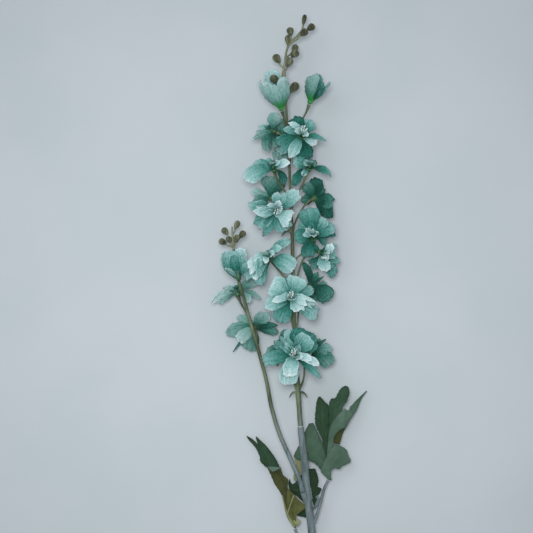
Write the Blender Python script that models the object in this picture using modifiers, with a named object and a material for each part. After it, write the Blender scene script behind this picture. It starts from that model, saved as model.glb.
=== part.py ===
# Delphinium stem with teal silk blooms, lying on its back on a flat surface.
# X runs across, Y along the stem towards its bud tip, Z up from the surface.
# Lengths and places are written in millimetres and turned into metres where a mesh is made.
import math
import random

import bmesh
import bpy
import numpy as np
from mathutils import Matrix, Vector
from mathutils.bvhtree import BVHTree

MM = 0.001

# Driving sizes of the cloth, the stalks and the gaps between separate pieces.
BLADE = 0.7
SEAT_GAP = 0.3
CLEAR_OF_SHEET = 1.5
CLEAR_OF_STALK = 1.0
CLEAR_OF_HEART = 1.2
CLEAR_OF_STAMEN = 0.8
FLOOR_LIFT = 0.45

# Petal forms: angles are from the axis of the bloom, and the foot is (reach, height) in its cup.
OUTER = dict(rise=30.0, width=14.0, cup=0.2, twist=0.12, ruffle=0.8, notch=0.0, rows=3, columns=2,
             foot=(1.3, 1.9), claw=0.64)
INNER = dict(rise=20.0, width=7.5, cup=0.45, twist=0.1, ruffle=0.6, notch=0.0, rows=2, columns=2,
             foot=(0.8, 6.2), claw=0.62, count=5, opens=46.0, chord=11.0)
BELL = dict(rise=52.0, width=15.5, cup=0.36, twist=0.14, ruffle=0.3, notch=0.0, rows=3, columns=2,
            foot=(1.0, 1.6), claw=0.95)
BELL_HEART = dict(rise=20.0, width=7.0, cup=0.4, twist=0.3, ruffle=0.3, notch=0.0, rows=2, columns=2,
                  foot=(0.7, 3.0), claw=0.9, count=3, opens=9.0, chord=16.0)

CUP_DEPTH = 3.0
CUP_RADII = (1.8, 2.6)
HEART_TOP = 8.4
HEART_RADII = (1.1, 1.6)
STAMENS = 3
STAMEN_LEAN = 15.0
STAMEN_FOOT = (0.55, 7.2)
STAMEN_LENGTH = 7.0
STAMEN_RADII = (0.5, 0.35)
BELL_BASE = (2.3, 3.6)

PEDICEL_RADIUS = 0.85
PEDICEL_FLARE = 1.7
PEDICEL_STEPS = 4
LOBE_STEP = 0.22

# Each open bloom: where its calyx sits, the way it faces, its size, where its stalk leaves the
# stem, and the tip of each outer petal as (x, y, height above the calyx).
BLOOMS = {
    "bloom_01": dict(calyx=(-9.5, 231, 24), faces=(-0.75, 0.35, -0.3), size=0.95, joins=214,
        tips=((-29.5, 225, 4), (-25, 237, -12), (-16.5, 243, -15), (-7, 245.5, -4), (-18.5, 216.5, 10))),
    "bloom_02": dict(calyx=(9, 226, 29), faces=(0.25, 0.6, 0.75), size=0.9, joins=207,
        tips=((17.5, 241, 6), (29.5, 223, 8), (-1, 211, 5), (13.5, 211.5, -3), (0, 241, 4))),
    "bloom_03": dict(calyx=(-1.5, 224.5, 15.2), faces=(-0.3, -0.2, -0.9), size=0.9, joins=203,
        tips=((-11, 208.5, -4), (7, 242.5, -4), (-13.5, 224.5, -6), (10.5, 215, -8))),
    "bloom_04": dict(calyx=(-11.5, 199, 31), faces=(-0.2, 0.75, 0.4), size=0.95, joins=172,
        tips=((-33.5, 192.5, 4), (-21, 208.5, -5), (-8, 210, -7), (1, 205, 6), (-4, 187, 10))),
    "bloom_05": dict(calyx=(-10.5, 171, 30), faces=(0.05, -0.3, 0.95), size=1.1, joins=150,
        tips=((-32.5, 172.5, 6), (-21, 149, 3), (-4, 155, 6), (9, 184, 8), (-5, 187.5, 7))),
    "bloom_06": dict(calyx=(19, 178, 20), faces=(0.45, 0.15, -0.85), size=1, joins=150,
        tips=((19, 195, -4), (11.5, 189, -2), (29, 189, -5), (37.5, 179, -7), (34, 163, 0), (9, 168.5, -7))),
    "bloom_07": dict(calyx=(15, 199.5, 29), faces=(0.25, 0.8, 0.2), size=0.9, joins=168,
        tips=((33.5, 196, 5), (21.5, 210, -13), (12.5, 214, -8), (5.5, 206.5, 8), (5, 192, -3))),
    "bloom_08": dict(calyx=(20, 144.5, 25), faces=(-0.1, 0.7, 0.65), size=1, joins=125,
        tips=((14.5, 167.5, 3), (26, 163, 5), (37, 154, 6), (5, 150, 8), (13, 135, 8))),
    "bloom_09": dict(calyx=(23, 136, 22), faces=(0.7, -0.25, 0.5), size=1, joins=98,
        tips=((21, 124, -5), (29.5, 120, 9), (37, 138, 8), (40, 127, 2), (36, 117, -4))),
    "bloom_10": dict(calyx=(-14, 128.5, 28), faces=(-0.4, 0.65, 0.6), size=1, joins=100,
        tips=((3, 120.5, 5), (3.5, 144, 3), (-31.5, 127.5, 4), (-33, 115, 2), (-22.5, 106.5, -2))),
    "bloom_11": dict(calyx=(14.5, 107.5, 20), faces=(0.7, 0.3, -0.6), size=1, joins=70,
        tips=((25, 120, -5), (31.5, 110, -8), (33, 98, 2), (9, 126, -7), (19, 96.5, -12))),
    "bloom_12": dict(calyx=(1.5, 96.5, 30), faces=(0.02, 0.45, 0.9), size=1.1, joins=72,
        tips=((-16, 110, 7), (7, 116, 6), (-20, 89, 7), (-13, 81, 3), (22, 83, 4))),
    "bloom_13": dict(calyx=(6.5, 51, 31), faces=(-0.25, 0.4, 0.87), size=1.15, joins=24,
        tips=((-2, 29, 8), (-20, 47.5, 5), (25, 35.5, 6), (17.5, 71.5, 11), (-9, 67, 8))),
    "bloom_14": dict(calyx=(17, 57, 21), faces=(0.7, 0.1, -0.55), size=1, joins=25,
        tips=((35.5, 59, -4), (35, 43.5, 2), (29.5, 67, -10), (18.5, 73, -6), (21.5, 42, -11))),
    "bloom_15": dict(calyx=(-1, 59, 16), faces=(-0.6, 0.35, -0.5), size=0.9, joins=30,
        tips=((-13, 64.5, 3), (-7, 71.5, -3), (0, 75.5, -8), (-18.5, 54, -6), (-9.5, 44.5, -8))),
    "bloom_16": dict(calyx=(-13, 177, 19), faces=(-0.35, 0.5, -0.6), size=0.95, joins=160,
        tips=((-31.5, 185, -6), (-20, 195, -2), (-2.5, 193, -3), (-29.5, 173, -2))),
}
SIDE_BLOOMS = {
    "side_bloom_01": dict(calyx=(-40.5, 99.5, 18), faces=(-0.3, 0.85, -0.35), size=0.95, joins=74,
        tips=((-61, 94.5, 1), (-51.5, 106.5, -3), (-44, 111, -13), (-23.5, 109, -5), (-21, 97, 1))),
    "side_bloom_02": dict(calyx=(-27, 75, 15.6), faces=(-0.05, 0.1, -0.95), size=1.1, joins=57,
        tips=((-51, 71, -4), (-44, 54.5, -2), (-29.5, 55.5, -6), (-8, 69.5, -4), (-12.5, 85, -6),
              (-39, 83.5, -6))),
}

# Half-open blooms near the two tips, each a cup of petals round a closed heart.
BELLS = {
    "bell_top_left": dict(calyx=(-5.5, 247.5, 30), faces=(-0.3, 0.95, 0.05), size=1.2, joins=222,
        tips=((-18.5, 280.5, -5), (-23.5, 271, 2), (-5, 273, 6), (-0.5, 267, 0))),
    "bell_top_right": dict(calyx=(17, 253, 27), faces=(0.3, 0.93, 0.05), size=0.95, joins=218,
        tips=((16, 275, 2), (24, 278, 4), (34, 271, 0), (21.5, 277, -6))),
}
SIDE_BELLS = {
    "side_bell": dict(calyx=(-40, 112, 30), faces=(-0.15, 0.97, 0.1), size=1.05, joins=92,
        tips=((-48, 137, 2), (-39, 140.5, 4), (-31.5, 127.5, 2), (-45, 135.5, -5))),
}

# Routes of the stems through (x, y, z, radius), from the cut end to the tip.
LOWER_STEM = [(37.6, -325, 3.1, 3.2), (36, -285, 5.2, 3.2), (31, -215, 8.5, 3.2), (25, -150, 11.5, 3.2),
              (18.4, -88.8, 14.2, 3.15), (14.6, -58.7, 15.4, 3.0), (12.9, -38, 16.3, 2.9),
              (12.5, -34, 16.5, 3.3), (12.1, -30, 16.7, 2.8), (9.8, -9.8, 17.6, 2.55),
              (9.3, -5, 17.8, 2.5)]
SPIKE_STEM = [(9.3, -4.7, 17.8, 2.15), (8.2, 10.6, 18.6, 2.0), (7.4, 22.9, 19.4, 2.2),
              (6.4, 41.6, 20.4, 1.5), (4.8, 65.6, 21.6, 1.4), (3.6, 88, 22.4, 1.35),
              (2.8, 109.6, 23, 1.35), (2.4, 133.6, 23.4, 1.3), (2, 157.6, 23.6, 1.3),
              (1.2, 177.6, 23.8, 1.25), (0.4, 201.6, 24, 1.2), (-0.4, 217.6, 24, 1.15),
              (-1.6, 237.6, 24, 1.1), (-2.6, 254.7, 24, 1.0)]
MAIN_TIP = [(-2.6, 255, 24, 1.1), (-4.2, 277.6, 24, 0.95), (-1.8, 296.8, 24, 0.85),
            (1.6, 303.2, 24, 0.8), (5.6, 307.4, 24, 0.7), (10.4, 313, 24, 0.6)]
SIDE_BRANCH = [(11, -55.9, 19.9, 1.9), (9.6, -51, 20.5, 1.9), (6.7, -42.4, 20.9, 1.85),
               (1.1, -29.6, 21, 1.8), (-7.8, -9.2, 21.2, 1.75), (-14.1, 12, 21.5, 1.65),
               (-17.8, 31.6, 21.9, 1.55), (-22.2, 48.7, 22.4, 1.5), (-27.1, 66.6, 22.8, 1.45),
               (-31.2, 80.6, 23.1, 1.35), (-36, 98, 23.6, 1.25), (-39.8, 111.2, 23.9, 1.1),
               (-42.8, 127.6, 24, 1.0), (-44.3, 138.3, 24, 1.0)]
SIDE_TIP = [(-44.4, 138.6, 24, 1.0), (-45, 147, 24, 0.8), (-45.6, 156, 24, 0.6)]

# Socket on the lower stem that the side branch is plugged on, and the leaf stalks.
SOCKET = [(15.2, -68, 15, 1.9), (13, -62, 17.4, 2.1), (11.2, -56.5, 19.7, 2.2)]
LEAF_STALKS = {
    "leaf_right": [(20, -82, 14.4, 1.4), (22, -76, 14, 1.25), (24, -70.4, 13.4, 1.15),
                   (28, -55, 12.4, 1.15), (31.4, -47.6, 12, 1.15)],
    "leaf_left": [(24.8, -142.8, 11.8, 1.4), (15.2, -115.6, 10.4, 1.2), (7.2, -93.2, 9.4, 1.15),
                  (4.9, -87, 9.1, 1.15)],
    "leaf_back": [(15.9, -72, 14.6, 1.4), (21.5, -68.5, 12, 1.2), (24, -64.5, 9, 1.15),
                  (22.4, -60.6, 7.4, 1.15)],
}

# Buds as (x, y, z, radius, length); each hangs on its own short stalk from the tip.
MAIN_BUDS = [(12, 321, 24, 1.9, 9.0), (17.4, 314.8, 25, 3.0, 7.2), (11.6, 310.4, 28, 3.2, 7.6),
             (1, 311.5, 25, 2.9, 7.2), (-0.7, 305.2, 21.5, 2.8, 8.4), (4.6, 298.6, 20.5, 2.7, 6.6),
             (4.4, 293.6, 27.5, 3.4, 7.6), (-0.2, 286.6, 28.5, 3.2, 9.0), (-9.6, 289.8, 24, 3.2, 8.4),
             (-11.4, 274, 21, 3.3, 9.0), (3.4, 266.2, 25, 3.3, 9.4)]
SIDE_BUDS = [(-51, 152, 24, 2.6, 7.0), (-41.8, 157.2, 24, 2.4, 7.6), (-37.6, 149.4, 25, 2.6, 7.4),
             (-52.8, 143.6, 25, 2.7, 7.2), (-47.8, 145.2, 28.4, 2.5, 6.6), (-42, 146, 28, 2.6, 7.6)]

# Leaf lobes: the midrib through (x, y, z, width to the left, width to the right), the tilt of the
# lobe about its midrib and the fold of its halves, in degrees.
LEAVES = {
    "leaf_right": [
        dict(rib=[(33, -45, 11.8, 1, 1), (24.5, -34, 12.6, 7, 6), (19.5, -22, 13.4, 7, 7),
                  (17.8, -10, 13.6, 5, 5), (17.6, -1.5, 13.4, 1.6, 1.8)], tilt=8, fold=10),
        dict(rib=[(33, -45, 11.8, 1, 1), (29.5, -27, 14, 5, 5), (27, -8, 15.6, 6, 7),
                  (26, 9, 16, 5.2, 6.4), (24, 20, 15.8, 1.6, 2)], tilt=-4, fold=12),
        dict(rib=[(33, -45, 11.8, 1, 1), (34.5, -27, 14.7, 6, 6), (37, -4, 15.2, 7.5, 6.5),
                  (40, 9.5, 14.8, 7.5, 5.2), (43.8, 21, 14, 5, 4.2),
                  (47, 27.5, 13.4, 1.8, 1.4)], tilt=4, fold=10),
        dict(rib=[(33, -45, 11.8, 1, 1), (36.5, -27, 12.4, 5, 4), (42.5, -9, 12, 7.5, 4),
                  (48.5, 5, 10, 6, 3.4), (55.5, 15.5, 7.4, 2.4, 2.4),
                  (62.5, 23.5, 5.4, 0.5, 0.5)], tilt=-14, fold=14),
        dict(rib=[(33, -43.5, 10.8, 1, 1), (38.5, -27, 8.6, 1.5, 3), (44, -11.5, 8, 1.5, 3),
                  (51.5, 5, 9, 0.5, 0.5)], tilt=20, fold=0),
        dict(rib=[(33, -45, 11.8, 1, 1), (38, -38, 10, 5, 5), (43, -31, 5.4, 10.5, 6.5),
                  (47.5, -30, 0.6, 6.5, 6), (49.5, -31, -3.2, 2, 3)], tilt=0, fold=8),
    ],
    "leaf_left": [
        dict(rib=[(4, -84.5, 9, 1, 1), (-1, -72.5, 8.2, 3.5, 4), (-5.5, -59, 7.4, 4, 5.5),
                  (-9.5, -46, 6.8, 4, 6.5), (-13, -35.5, 6.6, 5, 6)], tilt=0, fold=-22),
        dict(rib=[(-11, -40.5, 6, 4.5, 5), (-17, -29, 5.2, 7.2, 6.4), (-22.5, -20.5, 3.6, 4, 3.6),
                  (-26.5, -13, 1.6, 0.5, 0.5)], tilt=-8, fold=14),
        dict(rib=[(-16, -32.5, 5.6, 1.5, 2.5), (-25, -23, 2.6, 1.5, 1.5), (-29.5, -17, -0.4, 1, 1),
                  (-34, -13, -2.6, 0.5, 0.5)], tilt=10, fold=0),
        dict(rib=[(3, -83, 9, 1.5, 1), (4.5, -75, 8.6, 5, 4.5), (8.5, -70, 8.2, 5, 4),
                  (13.5, -68.5, 7.8, 0.5, 0.5)], tilt=12, fold=-10),
    ],
    "leaf_back": [
        dict(rib=[(20.5, -58, 6.8, 1, 1), (16, -50, 6.4, 6, 7), (11, -36.5, 6, 4, 4),
                  (8, -22.5, 5.6, 0.5, 0.5)], tilt=0, fold=10),
        dict(rib=[(20.5, -58, 6.8, 1, 1), (13.5, -59, 6, 6.5, 6), (5.5, -54, 4.8, 4.5, 4),
                  (0.5, -46, 4, 0.5, 0.5)], tilt=6, fold=10),
        dict(rib=[(20.5, -58, 6.8, 1, 1), (16, -65, 5.6, 6, 5), (11, -72.5, 3.2, 5, 4),
                  (7, -77, 2, 0.5, 0.5)], tilt=-6, fold=8),
        dict(rib=[(20.5, -58, 6.8, 1, 1), (22, -50, 7, 3, 4), (21.5, -43, 6.6, 3, 3.5),
                  (20, -37.5, 6, 0.8, 0.8)], tilt=8, fold=6),
    ],
}

LOOKS = {
    "petal_silk": ((0.20, 0.50, 0.50), 0.75),
    "stem_lilac": ((0.30, 0.34, 0.36), 0.7),
    "stem_olive": ((0.24, 0.25, 0.10), 0.6),
    "bud_olive": ((0.17, 0.18, 0.10), 0.75),
    "leaf_green": ((0.05, 0.13, 0.07), 0.65),
}


def make_material(name):
    colour, roughness = LOOKS[name]
    material = bpy.data.materials.new(name)
    material.use_nodes = True
    shader = material.node_tree.nodes["Principled BSDF"]
    shader.inputs["Base Color"].default_value = (*colour, 1)
    shader.inputs["Roughness"].default_value = roughness
    shader.inputs["Metallic"].default_value = 0
    return material


def add_mesh_object(name, mesh, collection):
    obj = bpy.data.objects.new(name, mesh)
    collection.objects.link(obj)
    return obj


def mesh_from(work, name):
    mesh = bpy.data.meshes.new(name)
    work.to_mesh(mesh)
    work.free()
    return mesh


def smooth_route(points, step):
    """Points about every step along a smooth curve through the given ones, widths included."""
    knots = [np.array(p, float) for p in points]
    knots = [2 * knots[0] - knots[1], *knots, 2 * knots[-1] - knots[-2]]
    route = []
    for a, b, c, d in zip(knots, knots[1:], knots[2:], knots[3:]):
        pieces = max(1, round(float(np.linalg.norm((c - b)[:3])) / step))
        for k in range(pieces):
            t = k / pieces
            route.append(0.5 * (2 * b + (c - a) * t + (2 * a - 5 * b + 4 * c - d) * t ** 2
                                + (3 * b - a - 3 * c + d) * t ** 3))
    route.append(knots[-2])
    return route


def make_tube(name, route, sides, collection):
    """A closed tube through (x, y, z, radius), from a beveled curve with filled caps."""
    curve = bpy.data.curves.new(name, "CURVE")
    curve.dimensions = "3D"
    curve.bevel_depth = MM
    curve.bevel_resolution = sides // 2 - 2
    curve.use_fill_caps = True
    spline = curve.splines.new("POLY")
    spline.points.add(len(route) - 1)
    for point, (x, y, z, radius) in zip(spline.points, route):
        point.co = (x * MM, y * MM, z * MM, 1)
        point.radius = radius
    line = add_mesh_object(name, curve, PARTS)
    graph = bpy.context.evaluated_depsgraph_get()
    mesh = bpy.data.meshes.new_from_object(line.evaluated_get(graph))
    bpy.data.objects.remove(line)
    work = bmesh.new()
    work.from_mesh(mesh)
    bmesh.ops.remove_doubles(work, verts=work.verts, dist=0.01 * MM)
    bmesh.ops.recalc_face_normals(work, faces=work.faces)
    return add_mesh_object(name, mesh_from(work, name), collection)


def fuse(name, first, others, material):
    """One closed body from a first object and all the objects of a collection."""
    join = first.modifiers.new("join", "BOOLEAN")
    join.operation = "UNION"
    join.operand_type = "COLLECTION"
    join.collection = others
    join.solver = "MANIFOLD"
    graph = bpy.context.evaluated_depsgraph_get()
    mesh = bpy.data.meshes.new_from_object(first.evaluated_get(graph))
    for obj in [first, *others.objects]:
        bpy.data.objects.remove(obj)
    bpy.data.collections.remove(others)
    mesh.name = name
    mesh.materials.clear()
    mesh.materials.append(material)
    mesh.shade_smooth()
    mesh.set_sharp_from_angle(angle=math.radians(40))
    return add_mesh_object(name, mesh, PARTS)


def above_floor(point):
    """Bends a point in metres that would sink into the surface gently back above it."""
    lift = FLOOR_LIFT * MM
    if point.z < 4 * lift:
        point.z = lift + 3 * lift * math.exp((point.z - 4 * lift) / (3 * lift))
    return point


def add_skin(obj):
    skin = obj.modifiers.new("cloth", "SOLIDIFY")
    skin.thickness = BLADE * MM
    skin.offset = 0


def frame_of(faces):
    """(right, up, axis) of a bloom: up is as near +Y as the axis allows."""
    axis = Vector(faces).normalized()
    up = Vector((0, 1, 0)) - axis * axis.y
    if up.length < 0.35:
        up = Vector((0, 0, 1)) - axis * axis.z
    up.normalize()
    return up.cross(axis), up, axis


def placing_of(bloom):
    """Turns bloom coordinates (right, up, axis) in millimetres into metres on the part."""
    turn = Matrix(frame_of(bloom["faces"])).transposed().to_4x4()
    return Matrix.Scale(MM, 4) @ Matrix.Translation(bloom["calyx"]) @ turn


def aim_at(bloom, tip, kind):
    """(azimuth, opening angle, chord) in radians and millimetres of the petal that ends at tip."""
    x, y, z = bloom["calyx"]
    offset = Vector((tip[0] - x, tip[1] - y, tip[2]))
    across, along, height = (offset.dot(side) for side in frame_of(bloom["faces"]))
    reach = math.hypot(across, along) - kind["foot"][0]
    height -= kind["foot"][1]
    return math.atan2(across, along), math.atan2(reach, height), math.hypot(reach, height)


def petal_point(s, t, aim, kind, size, phase):
    """A point of a petal in bloom coordinates. s runs from foot to tip and t across, -1 to 1.
    The midline is an arc from the foot whose chord has the opening angle."""
    azimuth, opening, chord = aim
    rise = max(math.radians(kind["rise"]), opening - math.radians(45))
    swing = 2 * (opening - rise)
    if abs(swing) < 0.02:
        swing = 0.02
    length = chord * (swing / 2) / math.sin(swing / 2)
    s = s * (1 - (0.17 * t * t + kind["notch"] * (1 - abs(t))) * s * s)
    angle = rise + swing * s
    reach = kind["foot"][0] + length / swing * (math.cos(rise) - math.cos(angle))
    height = kind["foot"][1] + length / swing * (math.sin(angle) - math.sin(rise))
    half = kind["width"] * size / 2 * (0.15 + 0.85 * math.sin(math.pi * (0.05 + 0.72 * s)))
    half = min(half, kind["claw"] * reach - 0.1)
    wave = kind["ruffle"] * size * s * math.sin(2.2 * math.pi * s + phase) * t
    lift = kind["cup"] * half * t * t + kind["twist"] * half * t + wave
    reach -= lift * math.cos(angle)
    height += lift * math.sin(angle)
    across = t * half
    sine, cosine = math.sin(azimuth), math.cos(azimuth)
    return Vector((reach * sine + across * cosine, reach * cosine - across * sine, height))


def petal_mesh(placing, aim, kind, size, phase, start=0.0):
    """The petal's middle surface as triangles, in metres."""
    work = bmesh.new()
    bmesh.ops.create_grid(work, x_segments=kind["columns"], y_segments=kind["rows"], size=1)
    for vert in work.verts:
        s = start + (1 - start) * (vert.co.y + 1) / 2
        vert.co = above_floor(placing @ petal_point(s, vert.co.x, aim, kind, size, phase))
    bmesh.ops.triangulate(work, faces=work.faces)
    return mesh_from(work, "petal")


def corner_box(points):
    return [(min(p[k] for p in points), max(p[k] for p in points)) for k in range(3)]


def record_place(owner, mesh, distance, placed):
    """Notes a mesh that later petals keep their distance from."""
    tree = BVHTree.FromPolygons([v.co for v in mesh.vertices], [list(p.vertices) for p in mesh.polygons])
    placed.append((owner, tree, corner_box([v.co for v in mesh.vertices]), distance * MM))


def is_clear(mesh, owner, placed):
    """True if the sheet keeps its distance from all that other owners have placed."""
    own = BVHTree.FromPolygons([v.co for v in mesh.vertices], [list(p.vertices) for p in mesh.polygons])
    points = [v.co for v in mesh.vertices]
    box = corner_box(points)
    points += [(mesh.vertices[a].co + mesh.vertices[b].co) / 2 for a, b in (e.vertices for e in mesh.edges)]
    points += [p.center for p in mesh.polygons]
    for other, tree, other_box, distance in placed:
        if other == owner:
            continue
        if any(a[0] > b[1] + distance or b[0] > a[1] + distance for a, b in zip(box, other_box)):
            continue
        if own.overlap(tree) or any(tree.find_nearest(p, distance)[0] is not None for p in points):
            return False
    return True


# What a petal that meets a neighbour tries in turn: (added opening, added turn, share of its size).
GIVES = [(bend, turn, share)
         for share in (1.0, 0.9, 0.8, 0.7, 0.6, 0.5)
         for bend, turn in ((0, 0), (-6, 0), (6, 0), (0, 8), (0, -8), (-12, 0), (12, 0), (-6, 12),
                            (-6, -12), (8, 12), (8, -12), (-18, 0), (18, 0), (-14, 16), (-14, -16))]


def lay_petals(owner, bloom, kind, aims, placed, draw, collection):
    """Lays petals, each opened, turned or shortened until it clears the other pieces."""
    placing = placing_of(bloom)
    for azimuth, opening, chord in aims:
        phase = draw.uniform(0, 2 * math.pi)
        for bend, turn, share in GIVES:
            aim = (azimuth + math.radians(turn), opening + math.radians(bend), chord * share)
            free = petal_mesh(placing, aim, kind, bloom["size"] * share, phase, start=0.25)
            if is_clear(free, owner, placed):
                record_place(owner, free, CLEAR_OF_SHEET, placed)
                whole = petal_mesh(placing, aim, kind, bloom["size"] * share, phase)
                add_skin(add_mesh_object("petal", whole, collection))
                break


def ring_aims(kind, size, draw, first=0.0):
    """Aims of an even ring of petals, a little uneven in turn and opening."""
    return [(first + 2 * math.pi * k / kind["count"] + draw.uniform(-0.14, 0.14),
             math.radians(kind["opens"] + draw.uniform(-7, 7)), kind["chord"] * size * draw.uniform(0.9, 1.1))
            for k in range(kind["count"])]


def add_cone(name, placing, low, high, radii, sides):
    """A closed cone frustum along the local axis, from height low to high."""
    work = bmesh.new()
    shift = Matrix.Translation((0, 0, (low + high) / 2))
    bmesh.ops.create_cone(work, cap_ends=True, segments=sides, radius1=radii[0], radius2=radii[1],
                          depth=high - low, matrix=placing @ shift)
    return add_mesh_object(name, mesh_from(work, name), PARTS)


def add_ball(placing, radius, half_length, segments, rings, taper=0.0):
    """A closed ball stretched along its axis and drawn in towards its lower end by the taper."""
    work = bmesh.new()
    bmesh.ops.create_uvsphere(work, u_segments=segments, v_segments=rings, radius=1)
    for vert in work.verts:
        pull = 1 - taper * max(0.0, -vert.co.z)
        vert.co = placing @ Vector((vert.co.x * radius * pull, vert.co.y * radius * pull,
                                    vert.co.z * half_length))
    return add_mesh_object("ball", mesh_from(work, "ball"), PARTS)


def move_to(obj, collection):
    PARTS.objects.unlink(obj)
    collection.objects.link(obj)


def make_outer_rings(blooms, placed, draw, material):
    """The broad petals of each bloom on its green cup; the hearts' places are kept free first."""
    cups = {}
    for name, bloom in blooms.items():
        placing = placing_of(bloom)
        cups[name] = add_cone("cup", placing, SEAT_GAP, CUP_DEPTH, CUP_RADII, 7)
        heart = add_cone("heart", placing, SEAT_GAP, HEART_TOP + STAMEN_LENGTH / 2, HEART_RADII, 6)
        record_place(name, heart.data, CLEAR_OF_HEART, placed)
        bpy.data.objects.remove(heart)
    for name, bloom in blooms.items():
        collection = bpy.data.collections.new(name)
        aims = [aim_at(bloom, tip, OUTER) for tip in bloom["tips"]]
        lay_petals(name, bloom, OUTER, aims, placed, draw, collection)
        fuse(name + "_outer", cups[name], collection, material)


def make_inner_rings(blooms, placed, draw, material):
    """The ruffled petals and stamens of each bloom, on a heart that sits on the cup."""
    for name, bloom in blooms.items():
        placing = placing_of(bloom)
        owner = name + "_inner"
        others = [entry for entry in placed if entry[0] != name or entry[3] == CLEAR_OF_SHEET * MM]
        collection = bpy.data.collections.new(owner)
        heart = add_cone("heart", placing, CUP_DEPTH + SEAT_GAP, HEART_TOP, HEART_RADII, 6)
        first = aim_at(bloom, bloom["tips"][0], OUTER)[0] + math.pi / 5
        ring = dict(INNER, count=5 if bloom["faces"][2] > 0 else 3)
        aims = ring_aims(ring, bloom["size"], draw, first)
        known = len(others)
        lay_petals(owner, bloom, ring, aims, others, draw, collection)
        placed += others[known:]
        for k in range(STAMENS):
            turn = Matrix.Rotation(2 * math.pi * (k + 0.4 * draw.random()) / STAMENS, 4, "Z")
            lean = Matrix.Rotation(math.radians(STAMEN_LEAN), 4, "X")
            foot = Matrix.Translation((0, -STAMEN_FOOT[0], STAMEN_FOOT[1]))
            stamen = add_cone("stamen", placing @ turn @ foot @ lean, 0, STAMEN_LENGTH, STAMEN_RADII, 3)
            if is_clear(stamen.data, owner, others):
                record_place(owner, stamen.data, CLEAR_OF_STAMEN, placed)
                move_to(stamen, collection)
            else:
                bpy.data.objects.remove(stamen)
        fuse(owner, heart, collection, material)


def make_bell(name, bell, placed, draw, material):
    """A half-open bloom: a green base, a cup of petals and a closed heart, as one body."""
    placing = placing_of(bell)
    collection = bpy.data.collections.new(name)
    radius, half_length = BELL_BASE
    base = add_ball(placing @ Matrix.Translation((0, 0, half_length + SEAT_GAP)), radius, half_length, 8, 5)
    aims = [aim_at(bell, tip, BELL) for tip in bell["tips"]]
    lay_petals(name, bell, BELL, aims, placed, draw, collection)
    lay_petals(name, bell, BELL_HEART, ring_aims(BELL_HEART, bell["size"], draw), placed, draw, collection)
    fuse(name, base, collection, material)


def point_at(route, y):
    """The place and radius on a stem's route that is y along the part."""
    return [float(np.interp(y, [p[1] for p in route], [p[k] for p in route])) for k in range(4)]


def pedicel_route(stem, bloom):
    """A flower stalk: out of the stem, up beside it, and into the calyx along the bloom's axis."""
    axis = np.array(Vector(bloom["faces"]).normalized())
    start = np.array(point_at(stem, bloom["joins"])[:3])
    end = np.array(bloom["calyx"], float)
    pull = float(np.linalg.norm(end - start)) * 0.4
    side = np.sign(end - start)
    leave = start + pull * np.array([0.16 * side[0], 0.95, 0.16 * side[2]])
    arrive = end - pull * axis
    route = []
    for k in range(PEDICEL_STEPS):
        t = k / PEDICEL_STEPS
        place = ((1 - t) ** 3 * start + 3 * t * (1 - t) ** 2 * leave + 3 * t * t * (1 - t) * arrive
                 + t ** 3 * end)
        route.append((*place, PEDICEL_RADIUS))
    route.append((*(end - 3 * axis), PEDICEL_RADIUS))
    route.append((*end, PEDICEL_FLARE))
    return route


def bract_route(stem, y, side):
    """A small pointed bract that curls down beside the node at y."""
    x, y, z, radius = point_at(stem, y)
    return [(x, y, z, 1.2), (x + side * 3, y + 1.4, z, 1.0), (x + side * 5.4, y, z, 0.75),
            (x + side * 7.2, y - 3, z, 0.35)]


def make_stem(name, stem, step, sides, stalks, sides_of_stalk, material):
    """A stem with the stalks that grow from it, as one body."""
    collection = bpy.data.collections.new(name)
    body = make_tube("body", smooth_route(stem, step), sides, PARTS)
    for route in stalks:
        make_tube("stalk", route, sides_of_stalk, collection)
    return fuse(name, body, collection, material)


def make_tip(name, stem, buds, material):
    """The top of a stem with its closed buds, each on a short stalk."""
    collection = bpy.data.collections.new(name)
    body = make_tube("body", smooth_route(stem, 7), 6, PARTS)
    for x, y, z, radius, length in buds:
        bud = Vector((x, y, z))
        foot = Vector(point_at(stem, max(stem[0][1] + 1, y - 8))[:3])
        aim = (bud - foot).to_track_quat("Z", "Y").to_matrix().to_4x4()
        placing = Matrix.Scale(MM, 4) @ Matrix.Translation(bud) @ aim
        move_to(add_ball(placing, radius, length / 2, 6, 4, taper=0.4), collection)
        make_tube("stalk", [(*foot, 0.75), (*bud, 0.75)], 4, collection)
    return fuse(name, body, collection, material)


def make_lobe(lobe, lift, collection):
    """One lobe of a leaf: a ribbon round its midrib, folded along it, tilted about it and lifted."""
    rib = smooth_route(lobe["rib"], 11)
    tilt = math.radians(lobe["tilt"])
    fold = math.radians(lobe["fold"])
    work = bmesh.new()
    rows = []
    for k, (x, y, z, left, right) in enumerate(rib):
        way = Vector(rib[min(k + 1, len(rib) - 1)][:3]) - Vector(rib[max(k - 1, 0)][:3])
        side = way.cross(Vector((0, 0, 1))).normalized()
        face = side.cross(way).normalized()
        turn = Matrix.Rotation(-tilt, 3, way)
        side, face = turn @ side, turn @ face
        row = []
        for t, width in ((-1, left), (0, 0), (1, right)):
            out = (side * t * math.cos(fold) + face * math.sin(fold)) * max(width, 0.4)
            place = Vector((x, y, z + lift)) + (out if t else Vector())
            row.append(work.verts.new(above_floor(place * MM)))
        rows.append(row)
    for low, high in zip(rows, rows[1:]):
        for a, b, c, d in zip(low, low[1:], high[1:], high):
            work.faces.new((a, b, c, d))
    bmesh.ops.triangulate(work, faces=work.faces)
    add_skin(add_mesh_object("lobe", mesh_from(work, "lobe"), collection))


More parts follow.
